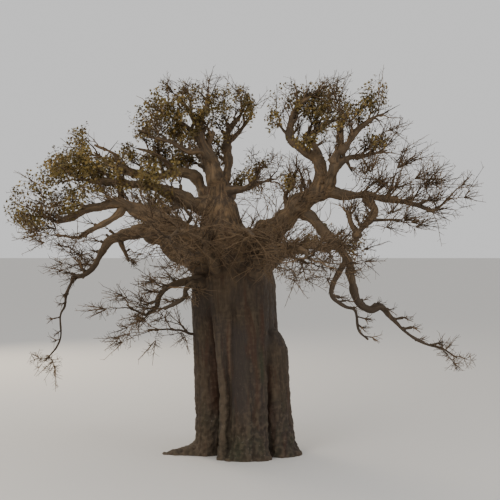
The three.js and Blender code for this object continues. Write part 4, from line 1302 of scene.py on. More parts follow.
def trunk_shell():
    """The trunk's closed skin, with its folds cut in and its top rounded over."""
    turn = np.linspace(0, 2 * math.pi, TRUNK_SIDES, endpoint=False)
    rings = []
    for height in np.arange(-BELOW_GROUND, TRUNK_HEIGHT, TRUNK_RING):
        level = np.full(TRUNK_SIDES, np.clip(height, 0, TRUNK_HEIGHT))
        radius = trunk_radius(level, turn)
        radius = np.maximum(radius - groove_depth(level, turn), radius * 0.5)
        radius *= 1 - TRUNK_NARROWING * smoothstep(height, TRUNK_HEIGHT - NARROWING_HEIGHT, TRUNK_HEIGHT) ** 2
        x, y, _ = trunk_axis(level).T
        ring = [x + radius * np.cos(turn), y + radius * np.sin(turn), np.full(TRUNK_SIDES, height)]
        rings.append(np.column_stack(ring))
    top = trunk_axis(np.array([TRUNK_HEIGHT]))[0]
    last = rings[-1]
    for lift in (0.5, 0.8, 0.95):
        ring = top + (last - top) * math.sqrt(1 - lift**2)
        ring[:, 2] = last[:, 2] + TRUNK_CROWN * lift
        rings.append(ring)
    poles = [(0, 0, -BELOW_GROUND), (top[0], top[1], last[0, 2] + TRUNK_CROWN)]
    return np.vstack(rings + [np.array(poles)]), ring_faces(len(rings), TRUNK_SIDES)


def limb_radii(limb, distances):
    """A limb's radius, with the collar it swells to where it leaves its carrier."""
    collar = 1 + COLLAR * np.exp(-distances / (COLLAR_FADE * limb.foot_radius))
    swelling = 1 + SWELLING * limb.stray(distances * SWELLING_RATE)[:, 0]
    return limb.radius(distances / limb.length) * collar * swelling * SLIMMER.get(limb.name, 1)


def stout_length(limb):
    """How much of a limb, from its foot, is fused with the trunk in one skin."""
    if limb.foot_radius <= HANDOVER_RADIUS:
        return 0.0
    return limb.length * limb.share_of_radius(HANDOVER_RADIUS)


def stout_limb(limb):
    """The fused stretch of a limb, narrowed at its end where the thin stretch takes over."""
    length = stout_length(limb)
    distances = np.linspace(0, length, max(3, round(length / 0.12)))
    radii = limb_radii(limb, distances) * (0.75 + 0.25 * smoothstep(distances, 0, 0.5))
    if length < limb.length:
        left = (length - distances) / HANDOVER_LENGTH
        radii *= 0.5 + 0.5 * np.clip(left, 0, 1)
    return tube(limb.at(distances / limb.length), radii, LIMB_SIDES)


def thin_limb(limb):
    """The rest of a limb, from inside its stout stretch to its tip."""
    start = max(stout_length(limb) - HANDOVER_LENGTH - 0.05, 0)
    distances = np.linspace(start, limb.length, max(4, round((limb.length - start) / 0.07)))
    radii = limb_radii(limb, distances)
    if start > 0:
        radii *= 0.6 + 0.4 * np.clip((distances - start) / 0.15, 0, 1)
    vertices, faces, grain, girth = tube(limb.at(distances / limb.length), radii, THIN_SIDES)
    grain[:, 2] += start
    return vertices, faces, grain, girth


def nearest_grain(vertices):
    """Each vertex's place in the grain of its wood, the radius there, and how near it is to a seam."""
    heights = np.clip(vertices[:, 2], 0, TRUNK_HEIGHT)
    aside = vertices - trunk_axis(heights)
    bearings = np.arctan2(aside[:, 1], aside[:, 0])
    girth = trunk_radius(heights, bearings)
    nearest = np.hypot(aside[:, 0], aside[:, 1]) - girth + np.maximum(vertices[:, 2] - TRUNK_HEIGHT, 0)
    second = np.full(len(vertices), np.inf)
    grain = np.column_stack([aside[:, 0], aside[:, 1], vertices[:, 2]])
    for limb in LIMB.values():
        length = stout_length(limb)
        if length == 0:
            continue
        margin = limb.foot_radius * (1 + COLLAR) + 0.4
        low, high = limb.line.min(axis=0) - margin, limb.line.max(axis=0) + margin
        near = np.flatnonzero(np.all((vertices > low) & (vertices < high), axis=1))
        headings, across, upward = frames_along(limb.line)
        apart = vertices[near][:, None] - limb.line[None]
        closest = np.argmin((apart**2).sum(axis=2), axis=1)
        offset = apart[np.arange(len(near)), closest]
        along = (offset * headings[closest]).sum(axis=1)
        distance = np.clip(limb.lengths[closest] + along, 0, limb.length)
        rising = np.linspace(0, limb.length, 161)
        radius = np.interp(distance, rising, limb_radii(limb, rising))
        away = np.linalg.norm(offset - headings[closest] * along[:, None], axis=1) - radius
        owned = away < nearest[near]
        kept, spoke = near[owned], offset[owned]
        second[near] = np.minimum(second[near], np.maximum(away, nearest[near]))
        nearest[kept] = away[owned]
        girth[kept] = radius[owned]
        grain[kept] = np.column_stack([
            (spoke * across[closest[owned]]).sum(axis=1),
            (spoke * upward[closest[owned]]).sum(axis=1),
            distance[owned] + TRUNK_HEIGHT])
    return grain, girth, 1 - smoothstep(second - nearest, 0, SEAM_WIDTH)


def fused_skin(voxel):
    """The trunk and the stout stretches of the limbs as one skin, with soft crotches where they meet."""
    shells = [trunk_shell()]
    shells += [stout_limb(limb)[:2] for limb in LIMB.values() if stout_length(limb) > 0]
    vertices, faces = join_shells(shells)
    holder = new_object("bark_wood", vertices, faces=faces)
    remesh = holder.modifiers.new("Skin", "REMESH")
    remesh.mode, remesh.voxel_size, remesh.adaptivity = "VOXEL", voxel, 0
    settle(holder)
    mesh = holder.data
    relaxer = Relaxer(mesh)
    places = places_of(mesh)
    for share in (0.5, -0.53, 0.5, -0.53):
        places = relaxer.even(places, 1, share)
    filled = relaxer.even(places, 14)
    normals = normals_of(mesh)
    hollow = ((filled - places) * normals).sum(axis=1)
    crotch = CROTCH_FILL * smoothstep(places[:, 2], *CROTCH_HEIGHTS)
    places = places + normals * (np.maximum(hollow, 0) * crotch)[:, None]
    crown = trunk_axis(np.array([TRUNK_HEIGHT]))[0]
    near_crown = 1 - smoothstep(np.linalg.norm(places - crown, axis=1), 0.8, 1.4)
    places = places + near_crown[:, None] * (relaxer.even(places, 24) - places)
    places = relaxer.even(places, 1)
    mesh.vertices.foreach_set("co", places.ravel())
    mesh.update()
    # How far each vertex sinks into the skin's folds and crotches: the bark's finish paints shade there and
    # light on the bulges.
    depth = relaxer.even(((relaxer.even(places, 20) - places) * normals_of(mesh)).sum(axis=1)[:, None], 2)
    grain, girth, seam = nearest_grain(places)
    store(mesh, "grain", relaxer.even(grain, 5))
    store(mesh, "girth", relaxer.even(girth[:, None], 5))
    store(mesh, "seam", relaxer.even(seam[:, None], 2))
    store(mesh, "fold", depth)
    store(mesh, "smooth", smooth_column(places))
    for kind in ("rusty", "mossy", "worn"):
        store(mesh, kind, stains_at(places, kind))
    return holder


def stains_at(places, kind):
    """How strongly a kind of mark shows at places on the trunk: stains, and the painted highlight along the
    middle column's edge.
    """
    bearings = np.arctan2(places[:, 1], places[:, 0])
    strength = np.zeros(len(places))
    for name, bearing, width, low, high in STAINS:
        if name == kind:
            spread = np.exp(-((aside_from(bearings, bearing) / width) ** 2))
            rise = smoothstep(places[:, 2], low - 0.4, low + 0.3)
            fall = smoothstep(places[:, 2], high - 0.3, high + 0.5)
            strength += spread * rise * (1 - fall)
    return np.minimum(strength, 1)


def smooth_column(places):
    """How smooth the trunk is: the middle column of its front is bare and even at half height."""
    bearings = np.arctan2(places[:, 1], places[:, 0])
    aside = np.abs(aside_from(bearings, SMOOTH_BEARING))
    edge = 1 - smoothstep(aside, SMOOTH_WIDTH - 3, SMOOTH_WIDTH + 2)
    low, high = SMOOTH_HEIGHTS
    return edge * smoothstep(places[:, 2], low - 0.9, low) * (1 - smoothstep(places[:, 2], high, high + 0.9))


def mark_hollows(mesh):
    """Stores how deep each vertex lies in the relief: above 0 in its hollows and below 0 on its crests."""
    relaxer = Relaxer(mesh)
    places = places_of(mesh)
    sunk = ((relaxer.even(places, 4) - places) * normals_of(mesh)).sum(axis=1)
    # Its hollows take painted shade and its crests painted light in the bark's finish.
    store(mesh, "hollow", relaxer.even(sunk[:, None], 1))


def bark_relief():
    """The rule that raises the bark: lumps, long ridges with the grain and creases across it."""
    rule = Rule("Bark relief", {
        "Lump Height": 0.16, "Ridge Height": 0.035, "Crease Depth": 0.014, "Knob Height": 0.1,
        "Ridge Spacing": 0.24})
    grain = rule.attribute("grain", "FLOAT_VECTOR")
    girth = rule.attribute("girth")
    lumps = rule.noise(grain, (1.5, 1.5, 0.75), 2.0) - 0.5
    knobs = rule.noise(grain, (3.4, 3.4, 2.6), 1.0) - 0.5
    across = 1 / rule.given("Ridge Spacing")
    spacing = rule.node("ShaderNodeCombineXYZ", None, {0: across, 1: across, 2: across * 0.11})
    ridges = rule.ridge(rule.noise(grain, spacing, 2.0, 0.5, 0.3)) - 0.3
    cords = rule.ridge(rule.noise(grain, (6.5, 6.5, 0.6), 1.0, 0.5, 0.2)) - 0.3
    creases = rule.ridge(rule.noise(grain, (2.2, 2.2, 7.0), 1.0, 0.5, 0.6)).between(0.6, 1.0)
    plain = 1 - rule.attribute("smooth") * 0.8
    place = rule.node("GeometryNodeInputPosition")
    tall = rule.node("ShaderNodeSeparateXYZ", None, {0: place}, 2)
    low, high = 1 - tall.between(0.8, 3.2), tall.between(7.0, 9.0)
    height = lumps * rule.given("Lump Height").at_most(girth * 0.55)
    height = height + ridges * rule.given("Ridge Height").at_most(girth * 0.14) * plain
    height = height + knobs * (rule.given("Knob Height") * (1 + low * 0.8)).at_most(girth * 0.6) * plain
    height = height + cords * high * rule.given("Ridge Height").at_most(girth * 0.12)
    height = height - creases * rule.given("Crease Depth").at_most(girth * 0.06) * plain
    warts = rule.noise(place, (6.5, 6.5, 5.5), 1.0) - 0.5
    height = height * (1 - rule.attribute("seam")) + warts * low * rule.given("Knob Height") * 1.2
    normal = rule.node("GeometryNodeInputNormal")
    offset = rule.node("ShaderNodeVectorMath", {"operation": "SCALE"}, {0: normal, "Scale": height})
    entry = rule.given("Geometry")
    rule.close(rule.node("GeometryNodeSetPosition", None, {"Geometry": entry, "Offset": offset}))
    return rule


def cut_at_ground(mesh):
    """Cuts the skin flat at the ground and closes the cut."""
    shape = bmesh.new()
    shape.from_mesh(mesh)
    everything = shape.verts[:] + shape.edges[:] + shape.faces[:]
    bmesh.ops.bisect_plane(shape, geom=everything, plane_co=(0, 0, 0), plane_no=(0, 0, 1), clear_inner=True)
    rim = [edge for edge in shape.edges if edge.is_boundary]
    for face in bmesh.ops.holes_fill(shape, edges=rim, sides=0)["faces"]:
        face.smooth = False
        if face.normal.z > 0:
            face.normal_flip()
    for edge in rim:
        edge.smooth = False
    shape.to_mesh(mesh)
    shape.free()


def bark_finish(settings):
    """Grey-brown bark: streaks and fibres with the grain, rust and green stains, pale scars, painted shade in
    the folds, crotches and hollows, painted light on the crests and bulges, a painted highlight along a
    column's edge, and warmer boughs and head that painted light makes lighter.
    """
    finish = Finish("Bark")
    places, mark = finish.places, finish.attribute
    grain, fold, smooth, hollow = mark("grain", "Vector"), mark("fold"), mark("smooth"), mark("hollow")
    height = finish.height_above_ground()
    high, low = height.between(6.0, 9.5), 1 - height.between(0.6, 3.4)
    streaks = finish.noise(grain, (5.5, 5.5, 0.5), 4.0, 0.6, 0.4)
    fibres = finish.noise(grain, (24.0, 24.0, 1.7), 4.0, 0.65, 0.3)
    specks = finish.noise(places, (11.0, 11.0, 8.0), 3.0, 0.7)
    patches = finish.noise(places, (0.7, 0.7, 0.45)).between(0.4, 0.6)
    mottle = finish.noise(places, (2.6, 2.6, 2.6), 3.0, 0.6).between(0.42, 0.62)
    cords = finish.noise(grain, (9.0, 9.0, 0.6), 3.0, 0.6, 0.3).between(0.45, 0.62)
    rust = finish.noise(grain, (3.2, 3.2, 0.35), 2.0, 0.5, 0.5).between(0.56, 0.7)
    green = finish.noise(places, (2.8, 2.8, 1.0)).between(0.42, 0.7)
    ragged = streaks.between(0.25, 0.6) * 0.6 + 0.3
    layers = (
        ("colour", streaks.between(0.3, 0.58)),
        ("cool", (patches * 0.6).at_least(smooth * 0.85)),
        # Partly the boughs' warmer bark, partly painted light: the trunk's head and the boughs are made
        # lighter to stand in for the hazy sunlight on the upper wood.
        ("bough", high * (mottle * 0.35 + cords * 0.55 + 0.1)),
        ("pale", fibres.between(0.5, 0.72) * (0.45 - smooth * 0.3)),
        ("rust", (rust * 0.5).at_least(mark("rusty") * ragged)),
        ("moss", (green * (low * 0.45 + 0.1)).at_least(mark("mossy") * ragged)),
        # Painted highlight along the middle column's left edge, and a worn pale patch low at the foot.
        ("pale", mark("worn") * ragged * 0.5),
        ("scar", specks.between(0.6, 0.72) * (low * 0.5 + 0.12)),
        # Painted shade in the hollows of the relief, and painted light on its crests.
        ("shade", hollow.between(0.0008, 0.009) * 0.45),
        ("pale", (0 - hollow).between(0.001, 0.009) * 0.3),
        # Painted shade at the bottom of the folds and in the crotches, and painted light on the bulges
        # between them.
        ("fold", fold.between(0.004, 0.06) * (0.85 - high * 0.5)),
        ("pale", (0 - fold).between(0.004, 0.03) * 0.25),
    )
    colour = tuple(settings.shade)
    for name, share in layers:
        colour = finish.mix(share, colour, tuple(getattr(settings, name)))
    finish.set("Base Color", colour)
    finish.set("Roughness", fibres * 0.15 + 0.78)
    finish.set("Normal", finish.bump(streaks * 0.5 + fibres * 0.35 + specks * 0.3, 0.06, 0.75))
    finish.set("Specular IOR Level", 0.25)
    return finish.material


# Twigs and leaves

def region_of(place):
    """The side of the crown that a place belongs to."""
    if place[1] > 3:
        return "back"
    if place[1] < -3.6 and abs(place[0]) < 3.2:
        return "front"
    return "left" if place[0] < 0.5 else "right"


REGIONS = ("left", "right", "front", "back")


@functools.lru_cache(maxsize=None)
def grown_twigs(fullness):
    """Every twig of the crown, by region."""
    grown = {region: [] for region in REGIONS}
    for mass in ALL_MASSES:
        grown[region_of(mass.heart)].extend(grow_mass(mass, fullness))
    for tuft in ALL_TUFTS:
        grown[region_of(tuft.heart)].extend(grow_mass(tuft, fullness * 0.8, strict=False))
    for name, (_, twigs) in all_whorls().items():
        grown[region_of(LIMB[name].at(0.7))].extend(twigs)
    for index, name in enumerate(STRANDS):
        grown[region_of(LIMB[name].at(0.7))].extend(grow_strands(LIMB[name], index))
    return grown


def twig_rule():
    """The rule that gives each line of a twig its thickness."""
    rule = Rule("Twig tubes", {"Stout Sides": 6, "Fine Sides": 3, "Thickness": 1.0})
    stout = rule.attribute("stout", "BOOLEAN")
    fine = rule.node("FunctionNodeBooleanMath", {"operation": "NOT"}, {0: stout})
    width = rule.attribute("radius") * rule.given("Thickness")
    tubes = []
    for chosen, sides in ((stout, "Stout Sides"), (fine, "Fine Sides")):
        sockets = {"Mesh": rule.given("Geometry"), "Selection": chosen}
        line = rule.node("GeometryNodeMeshToCurve", None, sockets)
        sockets = {"Resolution": rule.given(sides), "Radius": 1.0}
        ring = rule.node("GeometryNodeCurvePrimitiveCircle", None, sockets)
        sockets = {"Curve": line, "Profile Curve": ring, "Scale": width, "Fill Caps": True}
        tubes.append(rule.node("GeometryNodeCurveToMesh", None, sockets))
    joined = rule.tree.nodes.new("GeometryNodeJoinGeometry")
    for tube_mesh in tubes:
        rule.tree.links.new(tube_mesh.socket, joined.inputs[0])
    rule.close(Term(rule, joined.outputs[0]))
    return rule


def twig_lines(name, twigs):
    """The centre lines of twigs as edges, with what the rule reads from them."""
    points, edges, radii, stout, tone = [], [], [], [], []
    draw = seeded(len(twigs) + 11)
    for twig in twigs:
        start = len(points)
        shade = twig.pale + (1 - twig.pale) * draw()
        points.extend(twig.points)
        edges.extend((start + i, start + i + 1) for i in range(len(twig.points) - 1))
        radii.extend(twig.radii)
        stout.extend([twig.level <= 1] * len(twig.points))
        tone.extend([shade] * len(twig.points))
    return new_object(name, points, edges, attributes={
        "radius": radii, "stout": stout, "tone": tone})


def twig_finish(settings):
    finish = Finish("Twig bark")
    tone = finish.attribute("tone")
    mottle = finish.noise(finish.places, (5.0, 5.0, 5.0), 2.0)
    share = (tone * 1.1 + mottle * 0.5 - 0.4).at_least(0.0)
    colour = finish.mix(share, tuple(settings.dark), tuple(settings.light))
    finish.set("Base Color", colour)
    finish.set("Roughness", mottle * 0.2 + 0.7)
    finish.set("Specular IOR Level", 0.2)
    return finish.material


LEAFLETS = 5
LEAF_FAN = math.radians(62)
SPRAY_SHAPES = ((3, 0.9), (4, 1.0), (4, 0.85), (5, 1.0))


def leaflet(foot, heading, side, length, width):
    """One leaflet: a blade of two faces folded a little along its rib."""
    dip = np.cross(heading, side) * width * 0.18
    middle = foot + heading * length * 0.45
    return [foot, middle + side * width / 2 - dip, foot + heading * length, middle - side * width / 2 - dip]


def spray_shape(name, index, leaves, spread, settings):
    """A spray of hand-shaped leaves round a twig's tip, as a template that the rule deals out."""
    draw = seeded(501 + 37 * index)
    vertices, faces = [], []
    for i in range(leaves):
        turn = i * GOLDEN_ANGLE + index
        rise = 0.25 + 0.9 * (i + 0.5) / leaves
        outward = np.array((math.cos(turn) * math.cos(rise), math.sin(turn) * math.cos(rise), math.sin(rise)))
        foot = np.array((0, 0, 0.03 * i))
        hand = foot + outward * settings.stalk_length * spread * (0.8 + 0.5 * draw())
        side = unit(np.cross(outward, (0.2, 0.1, 1.0)))
        droop = unit(outward + np.array((0, 0, -0.35 - 0.4 * draw())))
        start = len(vertices)
        vertices.extend([foot, hand + side * 0.004, hand - side * 0.004])
        faces.append((start, start + 1, start + 2))
        for k in range(LEAFLETS):
            angle = LEAF_FAN * (2 * k / (LEAFLETS - 1) - 1)
            heading = unit(droop * math.cos(angle) + side * math.sin(angle))
            aside = unit(np.cross(np.cross(droop, side), heading))
            size = settings.leaflet_length * (1 - 0.3 * abs(angle) / LEAF_FAN) * (0.85 + 0.3 * draw())
            start = len(vertices)
            vertices.extend(leaflet(hand, heading, aside, size, size * settings.leaflet_width))
            faces.extend([(start, start + 1, start + 2), (start, start + 2, start + 3)])
    return new_object(name, vertices, faces=faces)


def leaf_places(twigs, settings):
    """Where sprays sit: at the tips of leafy twigs and along them, each with its heading, size and shape."""
    draw = seeded(8117)
    rows = []
    for twig in twigs:
        if not twig.leafy or twig.level == 0:
            continue
        steps = np.linalg.norm(np.diff(twig.points, axis=0), axis=1)
        length = float(steps.sum())
        lengths = np.concatenate([[0], np.cumsum(steps)])
        bare = 0.45 if twig.level <= 2 else 0.15
        count = max(1, round(length * (1 - bare) / settings.spacing))
        if draw() < settings.bare_tips and twig.depth > 0.9:
            continue
        for i in range(count):
            along = length * (1 - (1 - bare) * (i / count) - 0.03 * draw())
            place = np.array([np.interp(along, lengths, twig.points[:, k]) for k in range(3)])
            outside = not in_reach(place[None], LEAF_MARGIN) or shows_sky(place)
            if outside or draw() < smoothstep(place[2], *BARE_TOP):
                continue
            heading = unit(twig.points[-1] - twig.points[-2])
            stray = np.array([draw() - 0.5 for _ in range(3)])
            heading = unit(heading + stray * 0.9 + np.array((0, 0, 0.15)))
            side = unit(np.cross(heading, [draw() - 0.5, draw() - 0.5, draw() - 0.4]))
            size = settings.size * (0.75 + 0.5 * draw())
            rows.append((place, heading, side, size, int(draw() * len(SPRAY_SHAPES)), draw()))
    return rows


def leaf_rule():
    """The rule that deals out the spray templates over the places for them."""
    rule = Rule("Leaf sprays", {"Size": 1.0})
    shapes = rule.node("GeometryNodeCollectionInfo", None, {
        "Collection": rule.given("Shapes"), "Separate Children": True, "Reset Children": True})
    settings = {"primary_axis": "Z", "secondary_axis": "X"}
    rotation = rule.node("FunctionNodeAxesToRotation", settings, {
        0: rule.attribute("heading", "FLOAT_VECTOR"), 1: rule.attribute("side", "FLOAT_VECTOR")})
    rule.close(rule.node("GeometryNodeInstanceOnPoints", None, {
        "Points": rule.given("Geometry"), "Instance": shapes, "Pick Instance": True,
        "Instance Index": rule.attribute("shape", "INT"), "Rotation": rotation,
        "Scale": rule.attribute("size") * rule.given("Size")}))
    return rule


def leaf_finish(name, colour):
    finish = Finish(name)
    shift = finish.noise(finish.places, (2.5, 2.5, 2.5), 2.0).between(0.35, 0.65)
    darker = tuple(0.62 * c for c in colour[:3]) + (1.0,)
    finish.set("Base Color", finish.mix(shift, tuple(colour), darker))
    finish.set("Roughness", 0.55)
    finish.set("Specular IOR Level", 0.3)
    return finish.material


# Settings

def colour_setting(name, description, default):
    return bpy.props.FloatVectorProperty(
        name=name, description=description, default=default + (1.0,), size=4, subtype="COLOR", min=0, max=1)


def length_setting(name, description, default):
    return bpy.props.FloatProperty(name=name, description=description, default=default, unit="LENGTH", min=0)


def share_setting(name, description, default):
    return bpy.props.FloatProperty(
        name=name, description=description, default=default, subtype="FACTOR", min=0)


class BarkSettings(bpy.types.PropertyGroup):
    """Sizes and colours of the barked trunk and boughs."""

    voxel: length_setting("Skin Detail", "Size of the faces of the bark's skin", 0.0575)
    lump: length_setting("Lump Height", "How far the bark's broad lumps stand out", 0.16)
    ridge: length_setting("Ridge Height", "How far the long ridges stand out on the trunk", 0.035)
    spacing: length_setting("Ridge Spacing", "Distance from one ridge to the next", 0.32)
    colour: colour_setting("Bark", "Lit bark", (0.051, 0.036, 0.023))
    shade: colour_setting("Streaks", "Dark streaks with the grain", (0.029, 0.0195, 0.0125))
    # Also the painted shade in the hollows of the relief.
    cool: colour_setting("Smooth Bark", "Purplish grey of the smooth columns", (0.036, 0.028, 0.0245))
    # Also used for painted light: the highlight along the middle column's edge and the lighter crests of the
    # relief and of the folds.
    pale: colour_setting("Fibres", "Pale worn fibres", (0.12, 0.087, 0.056))
    rust: colour_setting("Rust Stains", "Reddish streaks in the folds", (0.055, 0.024, 0.014))
    moss: colour_setting("Green Stains", "Dark green stains low down", (0.032, 0.034, 0.019))
    scar: colour_setting("Scars", "Pale scars near the foot", (0.2, 0.165, 0.13))
    # Partly the boughs' own warm brown, partly painted light that lightens the head and boughs for the hazy
    # sunlight on them.
    bough: colour_setting("Boughs", "Warm brown of the boughs and the trunk's head", (0.215, 0.135, 0.068))
    # Painted shade for the bottom of the folds and the crotches.
    fold: colour_setting("Folds", "Dark bottom of the folds", (0.009, 0.006, 0.004))


class TwigSettings(bpy.types.PropertyGroup):
    """Fullness and colours of the twigs."""

    fullness: share_setting("Fullness", "How many of the finest twigs grow", 1.0)
    thickness: share_setting("Thickness", "Thickness of every twig against its real one", 1.15)
    dark: colour_setting("Dark Twigs", "Old twigs", (0.05, 0.033, 0.019))
    light: colour_setting("Light Twigs", "Young twigs", (0.2, 0.132, 0.075))


class LeafSettings(bpy.types.PropertyGroup):
    """Size and colours of the leaf sprays."""

    size: share_setting("Spray Size", "Size of every spray against its real one", 1.08)
    spacing: length_setting("Spacing", "Distance between sprays along a twig", 0.155)
    bare_tips: share_setting("Bare Tips", "Share of the outermost twigs without leaves", 0.3)
    leaflet_length: length_setting("Leaflet Length", "Length of the longest leaflet", 0.095)
    leaflet_width: share_setting("Leaflet Width", "Width of a leaflet against its length", 0.4)
    stalk_length: length_setting("Stalk Length", "Length of a leaf's stalk", 0.09)
    olive: colour_setting("Olive", "Most leaves", (0.19, 0.134, 0.035))
    # Painted shade: a darker copy of the olive for shaded leaves, dealt out at random.
    dark: colour_setting("Dark Olive", "Shaded leaves", (0.115, 0.082, 0.024))
    bronze: colour_setting("Bronze", "Leaves turning brown", (0.215, 0.137, 0.037))
    # Painted light: a lighter, golden copy of the olive for sunlit leaves, dealt out at random.
    gold: colour_setting("Tan Gold", "Dry leaves", (0.25, 0.168, 0.046))


class StageSettings(bpy.types.PropertyGroup):
    """The plain studio round the tree."""

    floor: colour_setting("Floor", "Pale floor", (0.62, 0.6, 0.57))
    sky: colour_setting("Surroundings", "Pale light from all round", (0.8, 0.8, 0.8))
    reach: length_setting("Floor Size", "Width of the floor", 900.0)


# Pieces

# Each leaf tone with the top of its share of the sprays; the dark tone is painted shade and the golden one
# painted light.
LEAF_TONES = (("olive", 0.42), ("dark", 0.7), ("bronze", 0.88), ("gold", 1.0))


class BAOBAB_OT_bark(bpy.types.Operator):
    """Makes the barked trunk and boughs."""

    bl_idname = "baobab.bark"
    bl_label = "Trunk and Boughs"

    def execute(self, context):
        settings = context.scene.baobab_bark
        finish = bark_finish(settings)
        rule = bark_relief()
        values = {
            "Lump Height": settings.lump, "Ridge Height": settings.ridge, "Ridge Spacing": settings.spacing,
            "Material": finish}
        fused = rule.apply(fused_skin(settings.voxel), values)
        mark_hollows(fused.data)
        cut_at_ground(fused.data)
        stout = [row[0] for row in LIMBS if stout_length(LIMB[row[0]]) > 0]
        slim = [row[0] for row in LIMBS if row[0] not in stout]
        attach(fused, "root")
        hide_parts("trunk", *stout)
        thin = [limb for limb in LIMB.values() if stout_length(limb) < limb.length]
        shells = [thin_limb(limb) for limb in thin]
        shells += [stub_shell(*stub) for stubs, _ in all_whorls().values() for stub in stubs]
        fullness = context.scene.baobab_twigs.fullness
        stems = [twig for grown in grown_twigs(fullness).values() for twig in grown if twig.level == 0]
        shells += [tube(stem.points, stem.radii, 10) for stem in stems]
        vertices, faces, grain, girth = join_shells(shells)
        holder = new_object("bark_limbs", vertices, faces=faces, attributes={
            "grain": grain, "girth": girth})
        limbs = rule.apply(holder, values)
        mark_hollows(limbs.data)
        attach(limbs, "root")
        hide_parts(*slim)
        return {"FINISHED"}


class BAOBAB_OT_twigs(bpy.types.Operator):
    """Grows the twigs of every mass, on from the limbs."""

    bl_idname = "baobab.twigs"
    bl_label = "Twigs"

    def execute(self, context):
        settings = context.scene.baobab_twigs
        finish = twig_finish(settings)
        rule = twig_rule()
        for region, twigs in grown_twigs(settings.fullness).items():
            holder = twig_lines("twigs_" + region, [twig for twig in twigs if twig.level > 0])
            piece = rule.apply(holder, {"Thickness": settings.thickness, "Material": finish})
            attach(piece, "root")
            nodes = ["mass_" + mass.name for mass in ALL_MASSES if region_of(mass.heart) == region]
            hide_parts(*nodes)
        return {"FINISHED"}


class BAOBAB_OT_leaves(bpy.types.Operator):
    """Deals leaf sprays out over the leafy twigs, one piece for each tone."""

    bl_idname = "baobab.leaves"
    bl_label = "Leaves"

    def execute(self, context):
        settings = context.scene.baobab_leaves
        fullness = context.scene.baobab_twigs.fullness
        shapes = bpy.data.collections.new("Leaf shapes")
        templates = []
        for i, (leaves, spread) in enumerate(SPRAY_SHAPES):
            template = spray_shape("spray_%d" % i, i, leaves, spread, settings)
            context.scene.collection.objects.unlink(template)
            shapes.objects.link(template)
            templates.append(template)
        rule = leaf_rule()
        twigs = [twig for grown in grown_twigs(fullness).values() for twig in grown]
        rows = leaf_places(twigs, settings)
        lowest = 0.0
        for tone, highest in LEAF_TONES:
            chosen = [row for row in rows if lowest <= row[5] < highest]
            lowest = highest
            places, headings, sides, sizes, kinds, _ = zip(*chosen)
            holder = new_object("leaves_" + tone, places, attributes={
                "heading": headings, "side": sides, "size": sizes, "shape": kinds})
            finish = leaf_finish("Leaf " + tone, getattr(settings, tone))
            piece = rule.apply(holder, {"Shapes": shapes, "Material": finish})
            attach(piece, "root")
        for template in templates:
            bpy.data.meshes.remove(template.data)
        bpy.data.collections.remove(shapes)
        return {"FINISHED"}


# Soft lights: name, place, size, power and colour.
LIGHTS = (
    ("Key", (-26, -34, 30), 26, 9000, (1.0, 0.96, 0.9)),
    ("Rim", (-24, 34, 22), 22, 9000, (1.0, 0.86, 0.66)),
    ("Fill", (34, -16, 16), 26, 3500, (0.93, 0.95, 1.0)),
)
LIGHTS_FACE = (0, 0, 8)
FLOOR_HEIGHT = -0.004
CAMERA_LENS, CAMERA_DIP = 72, 0.573


def area_light(name, place, size, power, colour):
    """A large soft light that faces the tree's middle."""
    light = bpy.data.lights.new(name, "AREA")
    light.shape, light.size, light.energy, light.color = "DISK", size, power, colour
    holder = bpy.data.objects.new(name, light)
    holder.location = place
    holder.rotation_euler = (Vector(LIGHTS_FACE) - Vector(place)).to_track_quat("-Z", "Y").to_euler()
    bpy.context.scene.collection.objects.link(holder)


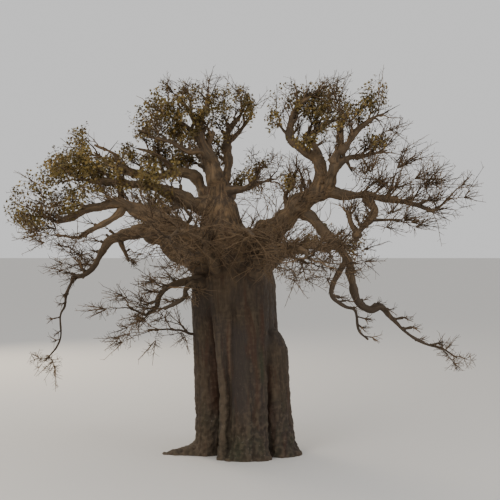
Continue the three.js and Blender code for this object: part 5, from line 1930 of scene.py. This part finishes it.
class BAOBAB_OT_stage(bpy.types.Operator):
    """Sets the camera, the pale floor and the soft studio light."""

    bl_idname = "baobab.stage"
    bl_label = "Stage"

    def execute(self, context):
        settings = context.scene.baobab_stage
        half = settings.reach / 2
        corners = [(x * half, y * half, FLOOR_HEIGHT) for x, y in ((-1, -1), (1, -1), (1, 1), (-1, 1))]
        floor = new_object("studio_floor", corners, faces=[(0, 1, 2, 3)])
        finish = Finish("Studio floor")
        finish.set("Base Color", tuple(settings.floor))
        finish.set("Roughness", 0.9)
        floor.data.materials.append(finish.material)
        world = bpy.data.worlds.new("Studio")
        world.use_nodes = True
        background = world.node_tree.nodes["Background"]
        background.inputs["Color"].default_value = tuple(settings.sky)
        background.inputs["Strength"].default_value = 1.0
        context.scene.world = world
        for light in LIGHTS:
            area_light(*light)
        camera = bpy.data.cameras.new("Camera")
        camera.lens, camera.sensor_width, camera.clip_end = CAMERA_LENS, 36, 2000
        viewer = bpy.data.objects.new("Camera", camera)
        viewer.location = FRONT_EYE
        viewer.rotation_euler = (math.radians(90 - CAMERA_DIP), 0, 0)
        context.scene.collection.objects.link(viewer)
        context.scene.camera = viewer
        return {"FINISHED"}


class BAOBAB_PT_panel(bpy.types.Panel):
    """Lists the steps that build the tree, with their settings."""

    bl_idname = "BAOBAB_PT_panel"
    bl_label = "Savanna Baobab"
    bl_space_type = "VIEW_3D"
    bl_region_type = "UI"
    bl_category = "Baobab"

    def draw(self, context):
        for operator, group in STEPS:
            box = self.layout.box()
            box.operator(operator.bl_idname)
            settings = getattr(context.scene, group)
            for name in settings.__annotations__:
                box.prop(settings, name)


GROUPS = {
    "baobab_bark": BarkSettings,
    "baobab_twigs": TwigSettings,
    "baobab_leaves": LeafSettings,
    "baobab_stage": StageSettings,
}
STEPS = (
    (BAOBAB_OT_bark, "baobab_bark"),
    (BAOBAB_OT_twigs, "baobab_twigs"),
    (BAOBAB_OT_leaves, "baobab_leaves"),
    (BAOBAB_OT_stage, "baobab_stage"),
)
CLASSES = (*GROUPS.values(), *(operator for operator, _ in STEPS), BAOBAB_PT_panel)


def register():
    for item in CLASSES:
        bpy.utils.register_class(item)
    for name, group in GROUPS.items():
        setattr(bpy.types.Scene, name, bpy.props.PointerProperty(type=group))


def unregister():
    for name in GROUPS:
        delattr(bpy.types.Scene, name)
    for item in reversed(CLASSES):
        bpy.utils.unregister_class(item)


def main():
    register()
    for operator, _ in STEPS:
        family, name = operator.bl_idname.split(".")
        getattr(getattr(bpy.ops, family), name)()


if __name__ == "__main__":
    main()
